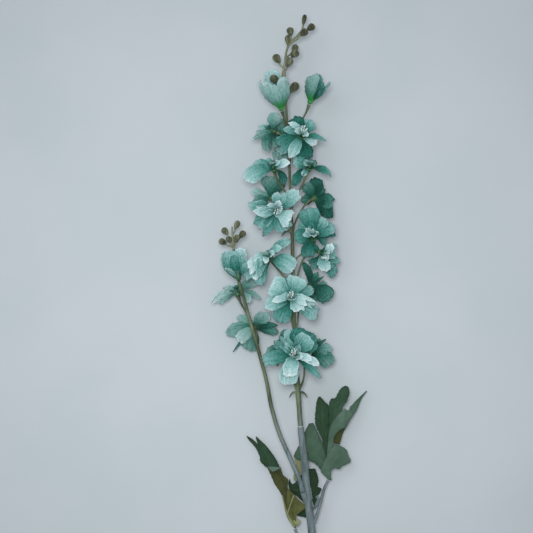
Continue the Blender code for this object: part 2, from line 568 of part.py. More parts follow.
def make_leaf(name, lobes, stalk, material):
    """A leaf of lobes on a foot that sits on the end of its stalk."""
    collection = bpy.data.collections.new(name)
    end = Vector(stalk[-1][:3])
    aim = (end - Vector(stalk[-2][:3])).to_track_quat("Z", "Y").to_matrix().to_4x4()
    placing = Matrix.Scale(MM, 4) @ Matrix.Translation(end) @ aim
    foot = add_cone("foot", placing, SEAT_GAP, 4.6, (1.15, 0.9), 6)
    for k, lobe in enumerate(lobes):
        make_lobe(lobe, LOBE_STEP * k, collection)
    fuse(name, foot, collection, material)


for leftover in list(bpy.data.objects):
    bpy.data.objects.remove(leftover)
PARTS = bpy.data.collections.new("delphinium_stem")
bpy.context.scene.collection.children.link(PARTS)
MATERIALS = {name: make_material(name) for name in LOOKS}

lower_stalks = [SOCKET] + [smooth_route(points, 9) for points in LEAF_STALKS.values()]
make_stem("lower_stem", LOWER_STEM, 26, 10, lower_stalks, 6, MATERIALS["stem_lilac"])

spike_stalks = [pedicel_route(SPIKE_STEM, head) for head in {**BLOOMS, **BELLS}.values()]
spike_stalks += [bract_route(SPIKE_STEM, 22, side) for side in (-1, 1)]
make_stem("spike_stem", SPIKE_STEM, 18, 8, spike_stalks, 4, MATERIALS["stem_olive"])

side_stalks = [pedicel_route(SIDE_BRANCH, head) for head in {**SIDE_BLOOMS, **SIDE_BELLS}.values()]
make_stem("side_branch", SIDE_BRANCH, 12, 8, side_stalks, 4, MATERIALS["stem_olive"])

make_tip("main_bud_tip", MAIN_TIP, MAIN_BUDS, MATERIALS["bud_olive"])
make_tip("side_bud_tip", SIDE_TIP, SIDE_BUDS, MATERIALS["bud_olive"])
for name, lobes in LEAVES.items():
    make_leaf(name, lobes, LEAF_STALKS[name], MATERIALS["leaf_green"])

placed = []
for obj in PARTS.objects:
    record_place(obj.name, obj.data, CLEAR_OF_STALK, placed)
draw = random.Random(7)
all_blooms = {**BLOOMS, **SIDE_BLOOMS}
for name, bell in {**BELLS, **SIDE_BELLS}.items():
    make_bell(name, bell, placed, draw, MATERIALS["petal_silk"])
make_outer_rings(all_blooms, placed, draw, MATERIALS["petal_silk"])
make_inner_rings(all_blooms, placed, draw, MATERIALS["petal_silk"])
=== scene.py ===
# Artificial delphinium stem: silk blooms on moulded stalks, lying on a pale studio floor.
# X runs across, Y along the stem towards its buds, Z up. Tables are in millimetres, except that the tips of
# petals and the edges of leaves are placed by pixels read off the photo.
import math
import random
from functools import partial

import bpy
import numpy as np
from mathutils import Matrix, Vector


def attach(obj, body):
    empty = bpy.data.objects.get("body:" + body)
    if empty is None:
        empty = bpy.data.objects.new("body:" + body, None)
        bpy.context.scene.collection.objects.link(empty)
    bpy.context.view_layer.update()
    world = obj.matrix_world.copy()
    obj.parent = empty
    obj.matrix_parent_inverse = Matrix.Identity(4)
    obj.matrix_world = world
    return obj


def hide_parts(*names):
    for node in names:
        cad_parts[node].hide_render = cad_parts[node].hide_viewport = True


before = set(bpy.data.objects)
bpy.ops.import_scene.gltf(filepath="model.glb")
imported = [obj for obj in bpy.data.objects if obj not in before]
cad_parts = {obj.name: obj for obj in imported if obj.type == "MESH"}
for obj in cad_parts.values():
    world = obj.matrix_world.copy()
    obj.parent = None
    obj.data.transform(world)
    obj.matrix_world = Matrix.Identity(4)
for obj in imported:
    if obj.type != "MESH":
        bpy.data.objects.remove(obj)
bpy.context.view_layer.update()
mm = 0.001
wholeTurn = 6.28  # radians, as near as a wave or a random phase needs
photo = dict(pixel=0.8, x=289, y=421.5)  # millimetres to a pixel, and the pixel at X = 0, Y = 0


def fromPhoto(px, py):  # a pixel of the photo as X and Y in millimetres
    return (px - photo["x"]) * photo["pixel"], (photo["y"] - py) * photo["pixel"]


def fromHex(code):  # an sRGB hex colour as the linear values that Blender mixes
    parts = [int(code[k:k + 2], 16) / 255 for k in (1, 3, 5)]
    return (*[c / 12.92 if c <= 0.04045 else ((c + 0.055) / 1.055) ** 2.4 for c in parts], 1)


def addNode(tree, kind, inputs=(), operation=None, stops=None, **settings):
    # inputs, in order or by name, are values, nodes or sockets, and a list of them goes to one socket
    node = tree.nodes.new(kind)
    if operation:
        node.operation = operation
    for label, value in settings.items():
        setattr(node, label, value)
    for socket, given in inputs.items() if isinstance(inputs, dict) else enumerate(inputs):
        for source in given if isinstance(given, list) else [given]:
            if isinstance(source, bpy.types.Node):
                source = source.outputs[0]
            if isinstance(source, bpy.types.NodeSocket):
                tree.links.new(source, node.inputs[socket])
            else:
                node.inputs[socket].default_value = source
    if stops:
        marks = node.color_ramp.elements
        while len(marks) < len(stops):
            marks.new(0.5)
        for mark, (at, code) in zip(marks, stops):
            mark.position = at
            mark.color = fromHex(code)
    return node


def wavesOf(add, value, rate, phase):  # the sine of a value that runs at a rate, from a phase
    run = add("ShaderNodeMath", (value, rate, phase), "MULTIPLY_ADD")
    return add("ShaderNodeMath", (run,), "SINE")


def meshOf(name, verts, faces=(), edges=(), **columns):  # a column holds a number or a vector for each point
    mesh = bpy.data.meshes.new(name)
    mesh.from_pydata([tuple(v) for v in verts], list(edges), list(faces))
    for label, values in columns.items():
        values = np.array(values, dtype=np.float32)
        kind, field = ("FLOAT_VECTOR", "vector") if values.ndim == 2 else ("FLOAT", "value")
        mesh.attributes.new(label, kind, "POINT").data.foreach_set(field, values.ravel())
    return mesh


def newTree(name, sizes, **others):  # a Geometry Nodes tree with named inputs: sizes, and others by kind
    tree = bpy.data.node_groups.new(name, "GeometryNodeTree")
    face = tree.interface
    face.new_socket("Geometry", in_out="INPUT", socket_type="NodeSocketGeometry")
    for label, value in sizes.items():
        kind = "NodeSocketInt" if isinstance(value, int) else "NodeSocketFloat"
        face.new_socket(label, in_out="INPUT", socket_type=kind).default_value = value
    for label, kind in others.items():
        face.new_socket(label, in_out="INPUT", socket_type="NodeSocket" + kind)
    face.new_socket("Geometry", in_out="OUTPUT", socket_type="NodeSocketGeometry")
    add = partial(addNode, tree)
    return tree, add, add("NodeGroupInput").outputs


def dress(add, shape, material, *parts):  # a tree's end: smooth, real, each part in its own material
    shape = add("GeometryNodeSetShadeSmooth", {"Geometry": shape})
    shape = add("GeometryNodeRealizeInstances", {"Geometry": shape})
    for selection, look in ((True, material), *parts):
        shape = add("GeometryNodeSetMaterial", {"Geometry": shape, "Selection": selection, "Material": look})
    add("NodeGroupOutput", (shape,))


def grown(name, mesh, tree, **values):  # runs a tree on a mesh and keeps the result as a plain mesh
    obj = bpy.data.objects.new(name, mesh)
    modifier = obj.modifiers.new("grow", "NODES")
    modifier.node_group = tree
    sockets = {s.name: s.identifier for s in tree.interface.items_tree if s.in_out == "INPUT"}
    for label, value in values.items():
        modifier[sockets[label]] = value
    bpy.context.scene.collection.objects.link(obj)
    graph = bpy.context.evaluated_depsgraph_get()
    made = bpy.data.meshes.new_from_object(obj.evaluated_get(graph), preserve_all_data_layers=True,
                                           depsgraph=graph)
    obj.modifiers.clear()
    obj.data = made
    made.name = name
    return obj


def place(obj, node):  # the piece rides on the stem and stands for a solid
    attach(obj, "root")
    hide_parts(node)


def smoothRoute(points, step):  # points about every step along a smooth curve through the given ones
    knots = [np.array(p, float) for p in points]
    knots = [2 * knots[0] - knots[1], *knots, 2 * knots[-1] - knots[-2]]
    route = []
    for a, b, c, d in zip(knots, knots[1:], knots[2:], knots[3:]):
        pieces = max(1, round(float(np.linalg.norm((c - b)[:3])) / step))
        for k in range(pieces):
            t = k / pieces
            route.append(0.5 * (2 * b + (c - a) * t + (2 * a - 5 * b + 4 * c - d) * t ** 2
                                + (3 * b - a - 3 * c + d) * t ** 3))
    route.append(knots[-2])
    return route


def pointAt(route, y):  # the place and radius on a stem's route that is y along it
    return [float(np.interp(y, [p[1] for p in route], [p[k] for p in route])) for k in range(4)]


def turned(profile, sides, flute=0.0):  # a closed turned body from (radius, height) rows, fluted all round
    verts, faces, rings = [], [], []
    for radius, height in profile:
        if radius == 0:
            verts.append((0, 0, height))
            rings.append([len(verts) - 1] * sides)
        else:
            first = len(verts)
            for k in range(sides):
                angle = 2 * math.pi * k / sides
                wide = radius * (1 + flute * (1 if k % 2 else -1))
                verts.append((wide * math.cos(angle), wide * math.sin(angle), height))
            rings.append(list(range(first, first + sides)))
    for low, high in zip(rings, rings[1:]):
        for k in range(sides):
            face = [low[k], low[(k + 1) % sides], high[(k + 1) % sides], high[k]]
            faces.append(tuple(dict.fromkeys(face)))
    return verts, faces


def newMaterial(name, **sockets):  # a material, and the call that adds nodes to it
    material = bpy.data.materials.new(name)
    material.use_nodes = True
    shader = material.node_tree.nodes["Principled BSDF"]
    for label, value in sockets.items():
        shader.inputs[label.replace("_", " ")].default_value = value
    return material, partial(addNode, material.node_tree)


def finished(material, colour, relief=None, strength=0.0, depth=0.0):
    # the colour and the relief, whose depth is in millimetres, go to the shader
    tree = material.node_tree
    shader = tree.nodes["Principled BSDF"]
    tree.links.new(colour, shader.inputs["Base Color"])
    if relief:
        bump = addNode(tree, "ShaderNodeBump", {"Height": relief, "Strength": strength,
                                                "Distance": depth * mm})
        tree.links.new(bump.outputs[0], shader.inputs["Normal"])
    return material


# Woven polyester taffeta, dip-dyed teal and heat-embossed: matt, with pale printed tips, fine lengthwise
# veins and a greyer wrong side. Its 0.1 mm threads are drawn 0.5 mm wide so that they show. Painted light
# is mixed into its tone: painted shade in the throats and on petals turned away, painted highlight on crease
# ridges and rims.
petalCloth = dict(
    face=((0.0, "#0b453a"), (0.22, "#23695e"), (0.42, "#4f8983"), (0.6, "#80aeac"), (0.8, "#a9cacc"),
          (1.0, "#d3e5e6")),
    back=((0.0, "#0f4237"), (0.25, "#2f6b60"), (0.5, "#6b9690"), (0.8, "#98bab8"), (1.0, "#c3d8d8")),
    streaks=(13.0, 1.1, 31.0), veins=31.2, threads=2.0, creases=0.42, creaseWidth=0.16, footDye=0.88,
    # what each thing adds to the tone, from 0, dark, to 1, pale; the throat and the dye carry painted shade,
    # the creases and the rim painted highlight
    throat=0.14, tip=0.58, dyed=-0.8, streaked=0.44, veined=0.02, creaseHighlight=0.12, rim=0.22, dyedRim=-0.5,
    midrib=0.1, rimFrom=0.86, rimFull=0.98, midribWidth=0.07,
    # relief against that of the threads, and its depth in millimetres
    veinRelief=0.5, creaseRelief=3.0, bump=0.35, depth=0.12)


def readColumns(add):  # what a cloth's mesh tells its material at each point
    return (add("ShaderNodeAttribute", attribute_name=label).outputs["Fac"]
            for label in ("along", "across", "dye", "front"))


def bothSides(add, cloth, tone, front):  # the tone as a colour of the right side, or of the wrong side behind
    face, back = (add("ShaderNodeValToRGB", (tone,), stops=cloth[side]) for side in ("face", "back"))
    return add("ShaderNodeMix", {0: front, 6: back, 7: face}, data_type="RGBA").outputs[2]


def makePetalCloth(name, foot, footEnd):  # foot: colour where the petal enters its cup, up to footEnd
    cloth = petalCloth
    material, add = newMaterial(name, Roughness=0.78, IOR=1.45, Specular_IOR_Level=0.2, Sheen_Weight=0.1,
                                Sheen_Roughness=0.45)
    along, across, dye, front = readColumns(add)
    spot = add("ShaderNodeTexCoord").outputs["Object"]
    # streaks of dye and embossed veins run lengthwise
    onPetal = add("ShaderNodeCombineXYZ", (across, along, dye))
    stretched = add("ShaderNodeMapping", {0: onPetal, "Scale": cloth["streaks"]})
    streaks = add("ShaderNodeTexNoise", {"Vector": stretched, "Scale": 1.0, "Detail": 2.0, "Roughness": 0.6})
    veins = wavesOf(add, across, cloth["veins"], 0.0)
    # crush creases: sharp ridges two or three millimetres apart, made paler as painted highlight
    folds = add("ShaderNodeTexNoise", {"Vector": spot, "Scale": cloth["creases"] / mm, "Detail": 1.5,
                                       "Roughness": 0.45, "Distortion": 0.6})
    level = add("ShaderNodeMath", (folds.outputs["Fac"], 0.5), "SUBTRACT")
    off = add("ShaderNodeMath", (level,), "ABSOLUTE")
    creases = add("ShaderNodeMapRange", {"Value": off, "From Max": cloth["creaseWidth"], "To Min": 1.0,
                                         "To Max": 0.0})
    # a pale rim, partly paler cloth and partly painted highlight, which is dark where the dye and painted
    # shade are strong, and a pale midrib
    side = add("ShaderNodeMath", (across,), "ABSOLUTE")
    edge = add("ShaderNodeMath", (side, along), "MAXIMUM")
    atRim = add("ShaderNodeMapRange", {"Value": edge, "From Min": cloth["rimFrom"],
                                       "From Max": cloth["rimFull"]})
    rim = add("ShaderNodeMath", (dye, cloth["dyedRim"], cloth["rim"]), "MULTIPLY_ADD")
    midrib = add("ShaderNodeMapRange", {"Value": side, "From Max": cloth["midribWidth"],
                                        "To Min": cloth["midrib"], "To Max": 0.0})
    # the tone: dark in the throat as painted shade, darker with each petal's dye and painted shade, paler to
    # the tip
    tone = add("ShaderNodeMath", (midrib, cloth["throat"]), "ADD")
    for value, weight in ((along, cloth["tip"]), (dye, cloth["dyed"]), (streaks, cloth["streaked"]),
                          (veins, cloth["veined"]), (creases, cloth["creaseHighlight"]), (atRim, rim)):
        tone = add("ShaderNodeMath", (value, weight, tone), "MULTIPLY_ADD")
    colour = bothSides(add, cloth, tone, front)
    nearFoot = add("ShaderNodeMapRange", {"Value": along, "From Min": footEnd / 3, "From Max": footEnd,
                                          "To Min": cloth["footDye"], "To Max": 0.0})
    colour = add("ShaderNodeMix", {0: nearFoot, 6: colour, 7: fromHex(foot)}, data_type="RGBA")
    warp, weft = (add("ShaderNodeTexWave", {"Vector": spot, "Scale": cloth["threads"] / mm / wholeTurn,
                                            "Distortion": 0.6}, bands_direction=way) for way in "XY")
    relief = add("ShaderNodeMath", (warp.outputs["Fac"], weft.outputs["Fac"]), "MULTIPLY")
    for value, weight in ((veins, cloth["veinRelief"]), (creases, cloth["creaseRelief"])):
        relief = add("ShaderNodeMath", (value, weight, relief), "MULTIPLY_ADD")
    return finished(material, colour.outputs[2], relief, cloth["bump"], cloth["depth"])


petalSilk = makePetalCloth("dyedPolyesterTaffeta", "#1f5a40", 0.2)
bellSilk = makePetalCloth("greenFootedTaffeta", "#1c7a2b", 0.4)  # the top bells are dipped green at the foot

# Where a stalk changes from its own colours to the lower ones, and the ring of flash at the plugged joint of
# the main stem, which lies to the right of mainX.
dusting = dict(fromY=20, toY=-30, mainX=3,
               ring="#b2bcb8", ringY=-4.6, ringCore=0.5, ringEdge=1.1, ringDust=0.75)
moulded = dict(drawn=(1.0, 0.25, 1.0), grain=1.6, bump=0.5)  # mottles are drawn out along the stem


def makeMoulded(name, stops, speck, mottles, depth, lower=None, **sockets):
    # speck: strength of the fine grain, mottles: how many to a millimetre, lower: colours at the cut end
    material, add = newMaterial(name, **sockets)
    spot = add("ShaderNodeTexCoord").outputs["Object"]
    drawn = add("ShaderNodeMapping", {0: spot, "Scale": moulded["drawn"]})
    mottle = add("ShaderNodeTexNoise", {"Vector": drawn, "Scale": mottles / mm, "Detail": 4.0,
                                        "Roughness": 0.6})
    grain = add("ShaderNodeTexNoise", {"Vector": spot, "Scale": moulded["grain"] / mm, "Detail": 2.0})
    mixed = add("ShaderNodeMath", (grain.outputs["Fac"], speck, mottle.outputs["Fac"]), "MULTIPLY_ADD")
    colour = add("ShaderNodeValToRGB", (mixed,), stops=stops).outputs[0]
    if lower:
        x, y, _ = add("ShaderNodeSeparateXYZ", (spot,)).outputs
        towards = add("ShaderNodeMapRange", {"Value": y, "From Min": dusting["fromY"] * mm,
                                             "From Max": dusting["toY"] * mm})
        below = add("ShaderNodeValToRGB", (mixed,), stops=lower)
        colour = add("ShaderNodeMix", {0: towards, 6: colour, 7: below}, data_type="RGBA").outputs[2]
        # the pale ring of flash where the upper moulding plugs into the lower one
        off = add("ShaderNodeMath", (y, -dusting["ringY"] * mm), "ADD")
        off = add("ShaderNodeMath", (off,), "ABSOLUTE")
        ringed = add("ShaderNodeMapRange", {"Value": off, "From Min": dusting["ringCore"] * mm,
                                            "From Max": dusting["ringEdge"] * mm,
                                            "To Min": dusting["ringDust"], "To Max": 0.0})
        main = add("ShaderNodeMath", (x, dusting["mainX"] * mm), "GREATER_THAN")
        ringed = add("ShaderNodeMath", (ringed, main), "MULTIPLY")
        colour = add("ShaderNodeMix", {0: ringed, 6: colour, 7: fromHex(dusting["ring"])},
                     data_type="RGBA").outputs[2]
    return finished(material, colour, mixed, moulded["bump"], depth)


# Moulded polyethylene with a dusty lilac bloom sprayed on: satin, mottled grey-blue over olive.
lilac = ((0.35, "#2a3731"), (0.5, "#465556"), (0.68, "#6e7d82"), (0.85, "#48564f"))
lilacStalk = makeMoulded("bloomedPolyethylene", lilac, 0.25, 0.12, 0.25, Roughness=0.55, IOR=1.5,
                         Specular_IOR_Level=0.35)
# The same moulding left olive green above, where it is satin, and dusted lilac towards the cut end.
oliveStalk = makeMoulded("olivePolyethylene", ((0.3, "#232b19"), (0.5, "#3f4b32"), (0.75, "#6a785b")),
                         0.2, 0.15, 0.2, lower=lilac, Roughness=0.5, IOR=1.5, Specular_IOR_Level=0.35)
# The same, paler, towards the buds.
tipStalk = makeMoulded("paleOlivePolyethylene", ((0.3, "#363a27"), (0.5, "#5a5f45"), (0.75, "#8b9077")),
                       0.2, 0.15, 0.2, Roughness=0.5, IOR=1.5, Specular_IOR_Level=0.35)
# Cup under each open bloom: polyethylene moulded deep green, waxy.
darkCup = makeMoulded("deepGreenPolyethylene", ((0.3, "#15361f"), (0.55, "#265235"), (0.8, "#47704f")),
                      0.2, 0.2, 0.15, Roughness=0.45, IOR=1.5)
# Cup under each top bell: the same in leaf green.
greenCup = makeMoulded("greenPolyethylene", ((0.3, "#1d5a2b"), (0.55, "#2f7d3a"), (0.8, "#4c9550")),
                       0.2, 0.2, 0.15, Roughness=0.45, IOR=1.5)
# Buds: foam balls flocked grey-olive, matt with a furry edge.
flock = makeMoulded("flockedFoam", ((0.55, "#22271a"), (0.78, "#4c513b"), (0.98, "#7c8168")), 0.6, 0.3, 0.6,
                    Roughness=0.9, IOR=1.4, Sheen_Weight=0.15, Sheen_Roughness=0.5)
# Stamens: dipped threads, pale aqua with white tips.
thread = makeMoulded("dippedThread", ((0.3, "#7fb9b4"), (0.5, "#c5e0dc"), (0.7, "#eef6f2")), 0.3, 0.35, 0.2,
                     Roughness=0.7, IOR=1.45)

# Printed polyester leaf cloth: matt dark green face with paler embossed veins, an olive wrong side, and
# threads drawn 0.4 mm wide.
leafCloth = dict(
    face=((0.1, "#142b18"), (0.3, "#203f2a"), (0.55, "#456051"), (0.85, "#7b9187")),
    back=((0.1, "#22280f"), (0.3, "#3e4320"), (0.55, "#5e6437"), (0.85, "#868d66")), vein="#8b9a5c",
    clouds=0.08, clouded=0.4, threads=2.4, ribs=0.9, slant=-6.0, ribFrom=0.86, midrib=(0.05, 0.13),
    veined=0.045, veinRelief=-1.4, bump=0.5, depth=0.2)


def makeLeafCloth():
    cloth = leafCloth
    material, add = newMaterial("printedLeafCloth", Roughness=0.62, IOR=1.45, Specular_IOR_Level=0.25,
                                Sheen_Weight=0.06, Sheen_Roughness=0.5)
    along, across, shade, front = readColumns(add)
    spot = add("ShaderNodeTexCoord").outputs["Object"]
    cloud = add("ShaderNodeTexNoise", {"Vector": spot, "Scale": cloth["clouds"] / mm, "Detail": 4.0})
    tone = add("ShaderNodeMath", (cloud.outputs["Fac"], cloth["clouded"], shade), "MULTIPLY_ADD")
    colour = bothSides(add, cloth, tone, front)
    # veins: the midrib at across = 0, and slanting ribs that leave it every 7 mm
    side = add("ShaderNodeMath", (across,), "ABSOLUTE")
    slant = add("ShaderNodeMath", (side, cloth["slant"]), "MULTIPLY")
    ribs = wavesOf(add, along, cloth["ribs"], slant)
    thin = add("ShaderNodeMapRange", {"Value": ribs, "From Min": cloth["ribFrom"], "From Max": 1.0})
    midrib = add("ShaderNodeMapRange", {"Value": side, "From Min": cloth["midrib"][0],
                                        "From Max": cloth["midrib"][1], "To Min": 1.0, "To Max": 0.0})
    veins = add("ShaderNodeMath", (thin, midrib), "MAXIMUM")
    some = add("ShaderNodeMath", (veins, cloth["veined"]), "MULTIPLY")
    colour = add("ShaderNodeMix", {0: some, 6: colour, 7: fromHex(cloth["vein"])}, data_type="RGBA")
    warp = add("ShaderNodeTexWave", {"Vector": spot, "Scale": cloth["threads"] / mm / wholeTurn,
                                     "Distortion": 0.5})
    relief = add("ShaderNodeMath", (veins, cloth["veinRelief"], warp.outputs["Fac"]), "MULTIPLY_ADD")
    return finished(material, colour.outputs[2], relief, cloth["bump"], cloth["depth"])


leafPrint = makeLeafCloth()
print("materials made")


# Routes through (x, y, z, radius), from the cut end to the tip.
lowerStem = [(37.6, -325, 3.5, 3.1), (36, -285, 5.4, 3.15), (31, -215, 8.5, 3.2), (25, -150, 11.5, 3.2),
             (18.4, -88.8, 14.2, 3.15), (14.6, -58.7, 15.4, 3.0), (12.9, -38, 16.3, 2.9),
             (12.5, -34, 16.5, 3.3), (12.1, -30, 16.7, 2.8), (9.8, -9.8, 17.6, 2.55),
             (9.3, -5, 17.8, 2.5)]
spikeStem = [(9.3, -4.7, 17.8, 2.15), (8.2, 10.6, 18.6, 2.0), (7.4, 22.9, 19.4, 2.2),
             (6.4, 41.6, 20.4, 1.5), (4.8, 65.6, 21.6, 1.5), (3.8, 88, 22.4, 1.55),
             (3.4, 109.6, 23, 1.6), (2.9, 133.6, 23.4, 1.5), (2.2, 157.6, 23.6, 1.35),
             (1.2, 177.6, 23.8, 1.1), (0.4, 201.6, 24, 1.05), (-0.4, 217.6, 24, 1.0),
             (-1.6, 237.6, 24, 1.0), (-2.6, 254.7, 24, 1.0)]
sideBranch = [(11, -55.9, 19.9, 1.9), (9.6, -51, 20.5, 1.9), (6.7, -42.4, 20.9, 1.85),
              (1.1, -29.6, 21, 1.8), (-7.8, -9.2, 21.2, 1.75), (-14.1, 12, 21.5, 1.65),
              (-17.8, 31.6, 21.9, 1.55), (-22.2, 48.7, 22.4, 1.5), (-27.1, 66.6, 22.8, 1.45),
              (-31.2, 80.6, 23.1, 1.35), (-36, 98, 23.6, 1.25), (-39.8, 111.2, 23.9, 1.1),
              (-42.8, 127.6, 24, 1.0), (-44.3, 138.3, 24, 1.0)]
socket = [(15.2, -68, 15, 1.9), (13, -62, 17.4, 2.1), (11.2, -56.5, 19.7, 2.2)]
leafStalks = {
    "leaf_right": [(20, -82, 14.4, 1.4), (22, -76, 14, 1.25), (24, -70.4, 13.4, 1.15),
                  (28, -55, 12.4, 1.15), (31.4, -47.6, 12, 1.15)],
    "leaf_left": [(24.8, -142.8, 11.8, 1.4), (15.2, -115.6, 10.4, 1.2), (7.2, -93.2, 9.4, 1.15),
                 (4.9, -87, 9.1, 1.15)],
    "leaf_back": [(15.9, -72, 14.6, 1.4), (21.5, -68.5, 12, 1.2), (24, -64.5, 9, 1.15),
                 (22.4, -60.6, 7.4, 1.15)],
}
# Stalks have a point every step. A pedicel's two ends pull on its curve, it leaves the stem along it and a
# little to the side, and it flares by shares of its radius at its foot and into the cup.
stemLooks = dict(step=2.5, pedicel=0.78, pull=0.4, leave=0.95, lean=0.16, points=14, footFlare=0.5,
                 cupFlare=1.0, flareFrom=0.86)
lowerSizes = {"Sides": 22, "Bumps": 0.55 * mm, "Bump size": 0.12 / mm}
upperSizes = {"Sides": 14, "Bumps": 0.3 * mm, "Bump size": 0.15 / mm}
bract = dict(step=1.2, rows=[(0, 0, 1.2), (3, 1.4, 1.0), (5.4, 0, 0.75), (7.2, -3, 0.3)])  # out, up, radius
bracts = [(22, -1, 1.0), (22, 1, 1.0), (151, -1, 1.15)]  # how far along the stem, on which side, how long


def addTubes(add, lines, sides):  # tubes along lines, as wide as each point's radius
    radius = add("GeometryNodeInputNamedAttribute", {"Name": "radius"}, data_type="FLOAT")
    route = add("GeometryNodeMeshToCurve", {"Mesh": lines})
    ring = add("GeometryNodeCurvePrimitiveCircle", {"Resolution": sides, "Radius": 1.0})
    return add("GeometryNodeCurveToMesh", {"Curve": route, "Profile Curve": ring.outputs[0], "Scale": radius,
                                           "Fill Caps": True})


def makeStalkTree():
    tree, add, inputs = newTree("tubes along routes", upperSizes, Material="Material")
    tubes = addTubes(add, inputs["Geometry"], inputs["Sides"])
    noise = add("ShaderNodeTexNoise", {"Scale": inputs["Bump size"], "Detail": 2.0})
    level = add("ShaderNodeMath", (noise.outputs["Fac"], 0.5), "SUBTRACT")
    height = add("ShaderNodeMath", (level, inputs["Bumps"]), "MULTIPLY")
    push = add("ShaderNodeVectorMath", {0: add("GeometryNodeInputNormal"), "Scale": height}, "SCALE")
    shaped = add("GeometryNodeSetPosition", {"Geometry": tubes, "Offset": push})
    dress(add, shaped, inputs["Material"])
    return tree


stalkTree = makeStalkTree()


def makeStalks(name, routes, sizes, material, node):  # tubes along routes of (x, y, z, radius)
    verts, edges, radii = [], [], []
    for route in routes:
        edges += [(len(verts) + k, len(verts) + k + 1) for k in range(len(route) - 1)]
        verts += [Vector(p[:3]) * mm for p in route]
        radii += [p[3] * mm for p in route]
    mesh = meshOf(name, verts, edges=edges, radius=radii)
    place(grown(name, mesh, stalkTree, **sizes, Material=material), node)


def pedicelRoute(stem, bloom):  # out of the stem, up beside it, and into the calyx along the bloom's axis
    looks = stemLooks
    axis = np.array(Vector(bloom["faces"]).normalized())
    start = np.array(pointAt(stem, bloom["joins"])[:3])
    end = np.array(bloom["calyx"], float)
    pull = float(np.linalg.norm(end - start)) * looks["pull"]
    side = np.sign(end - start)
    bows = bloom.get("bows", looks["lean"] * side[0])
    leave = start + pull * np.array([bows, looks["leave"], looks["lean"] * side[2]])
    arrive = end - pull * axis
    route = []
    for k in range(looks["points"] + 1):
        t = k / looks["points"]
        spot = ((1 - t) ** 3 * start + 3 * t * (1 - t) ** 2 * leave
                + 3 * t * t * (1 - t) * arrive + t ** 3 * end)
        foot = looks["footFlare"] * max(0, 1 - 5 * t)
        cup = looks["cupFlare"] * max(0, t - looks["flareFrom"]) / (1 - looks["flareFrom"])
        route.append((*spot, looks["pedicel"] * (1 + foot + cup)))
    return route


def bractRoute(stem, y, side, long):  # a small pointed bract that curls down beside a node of the stem
    x, _, z, _ = pointAt(stem, y)
    points = [(x + side * out * long, y + up, z, radius) for out, up, radius in bract["rows"]]
    return smoothRoute(points, bract["step"])


lowerRoutes = [smoothRoute(points, stemLooks["step"]) for points in (lowerStem, socket, *leafStalks.values())]
makeStalks("lower_stem_moulding", lowerRoutes, lowerSizes, lilacStalk, "lower_stem")
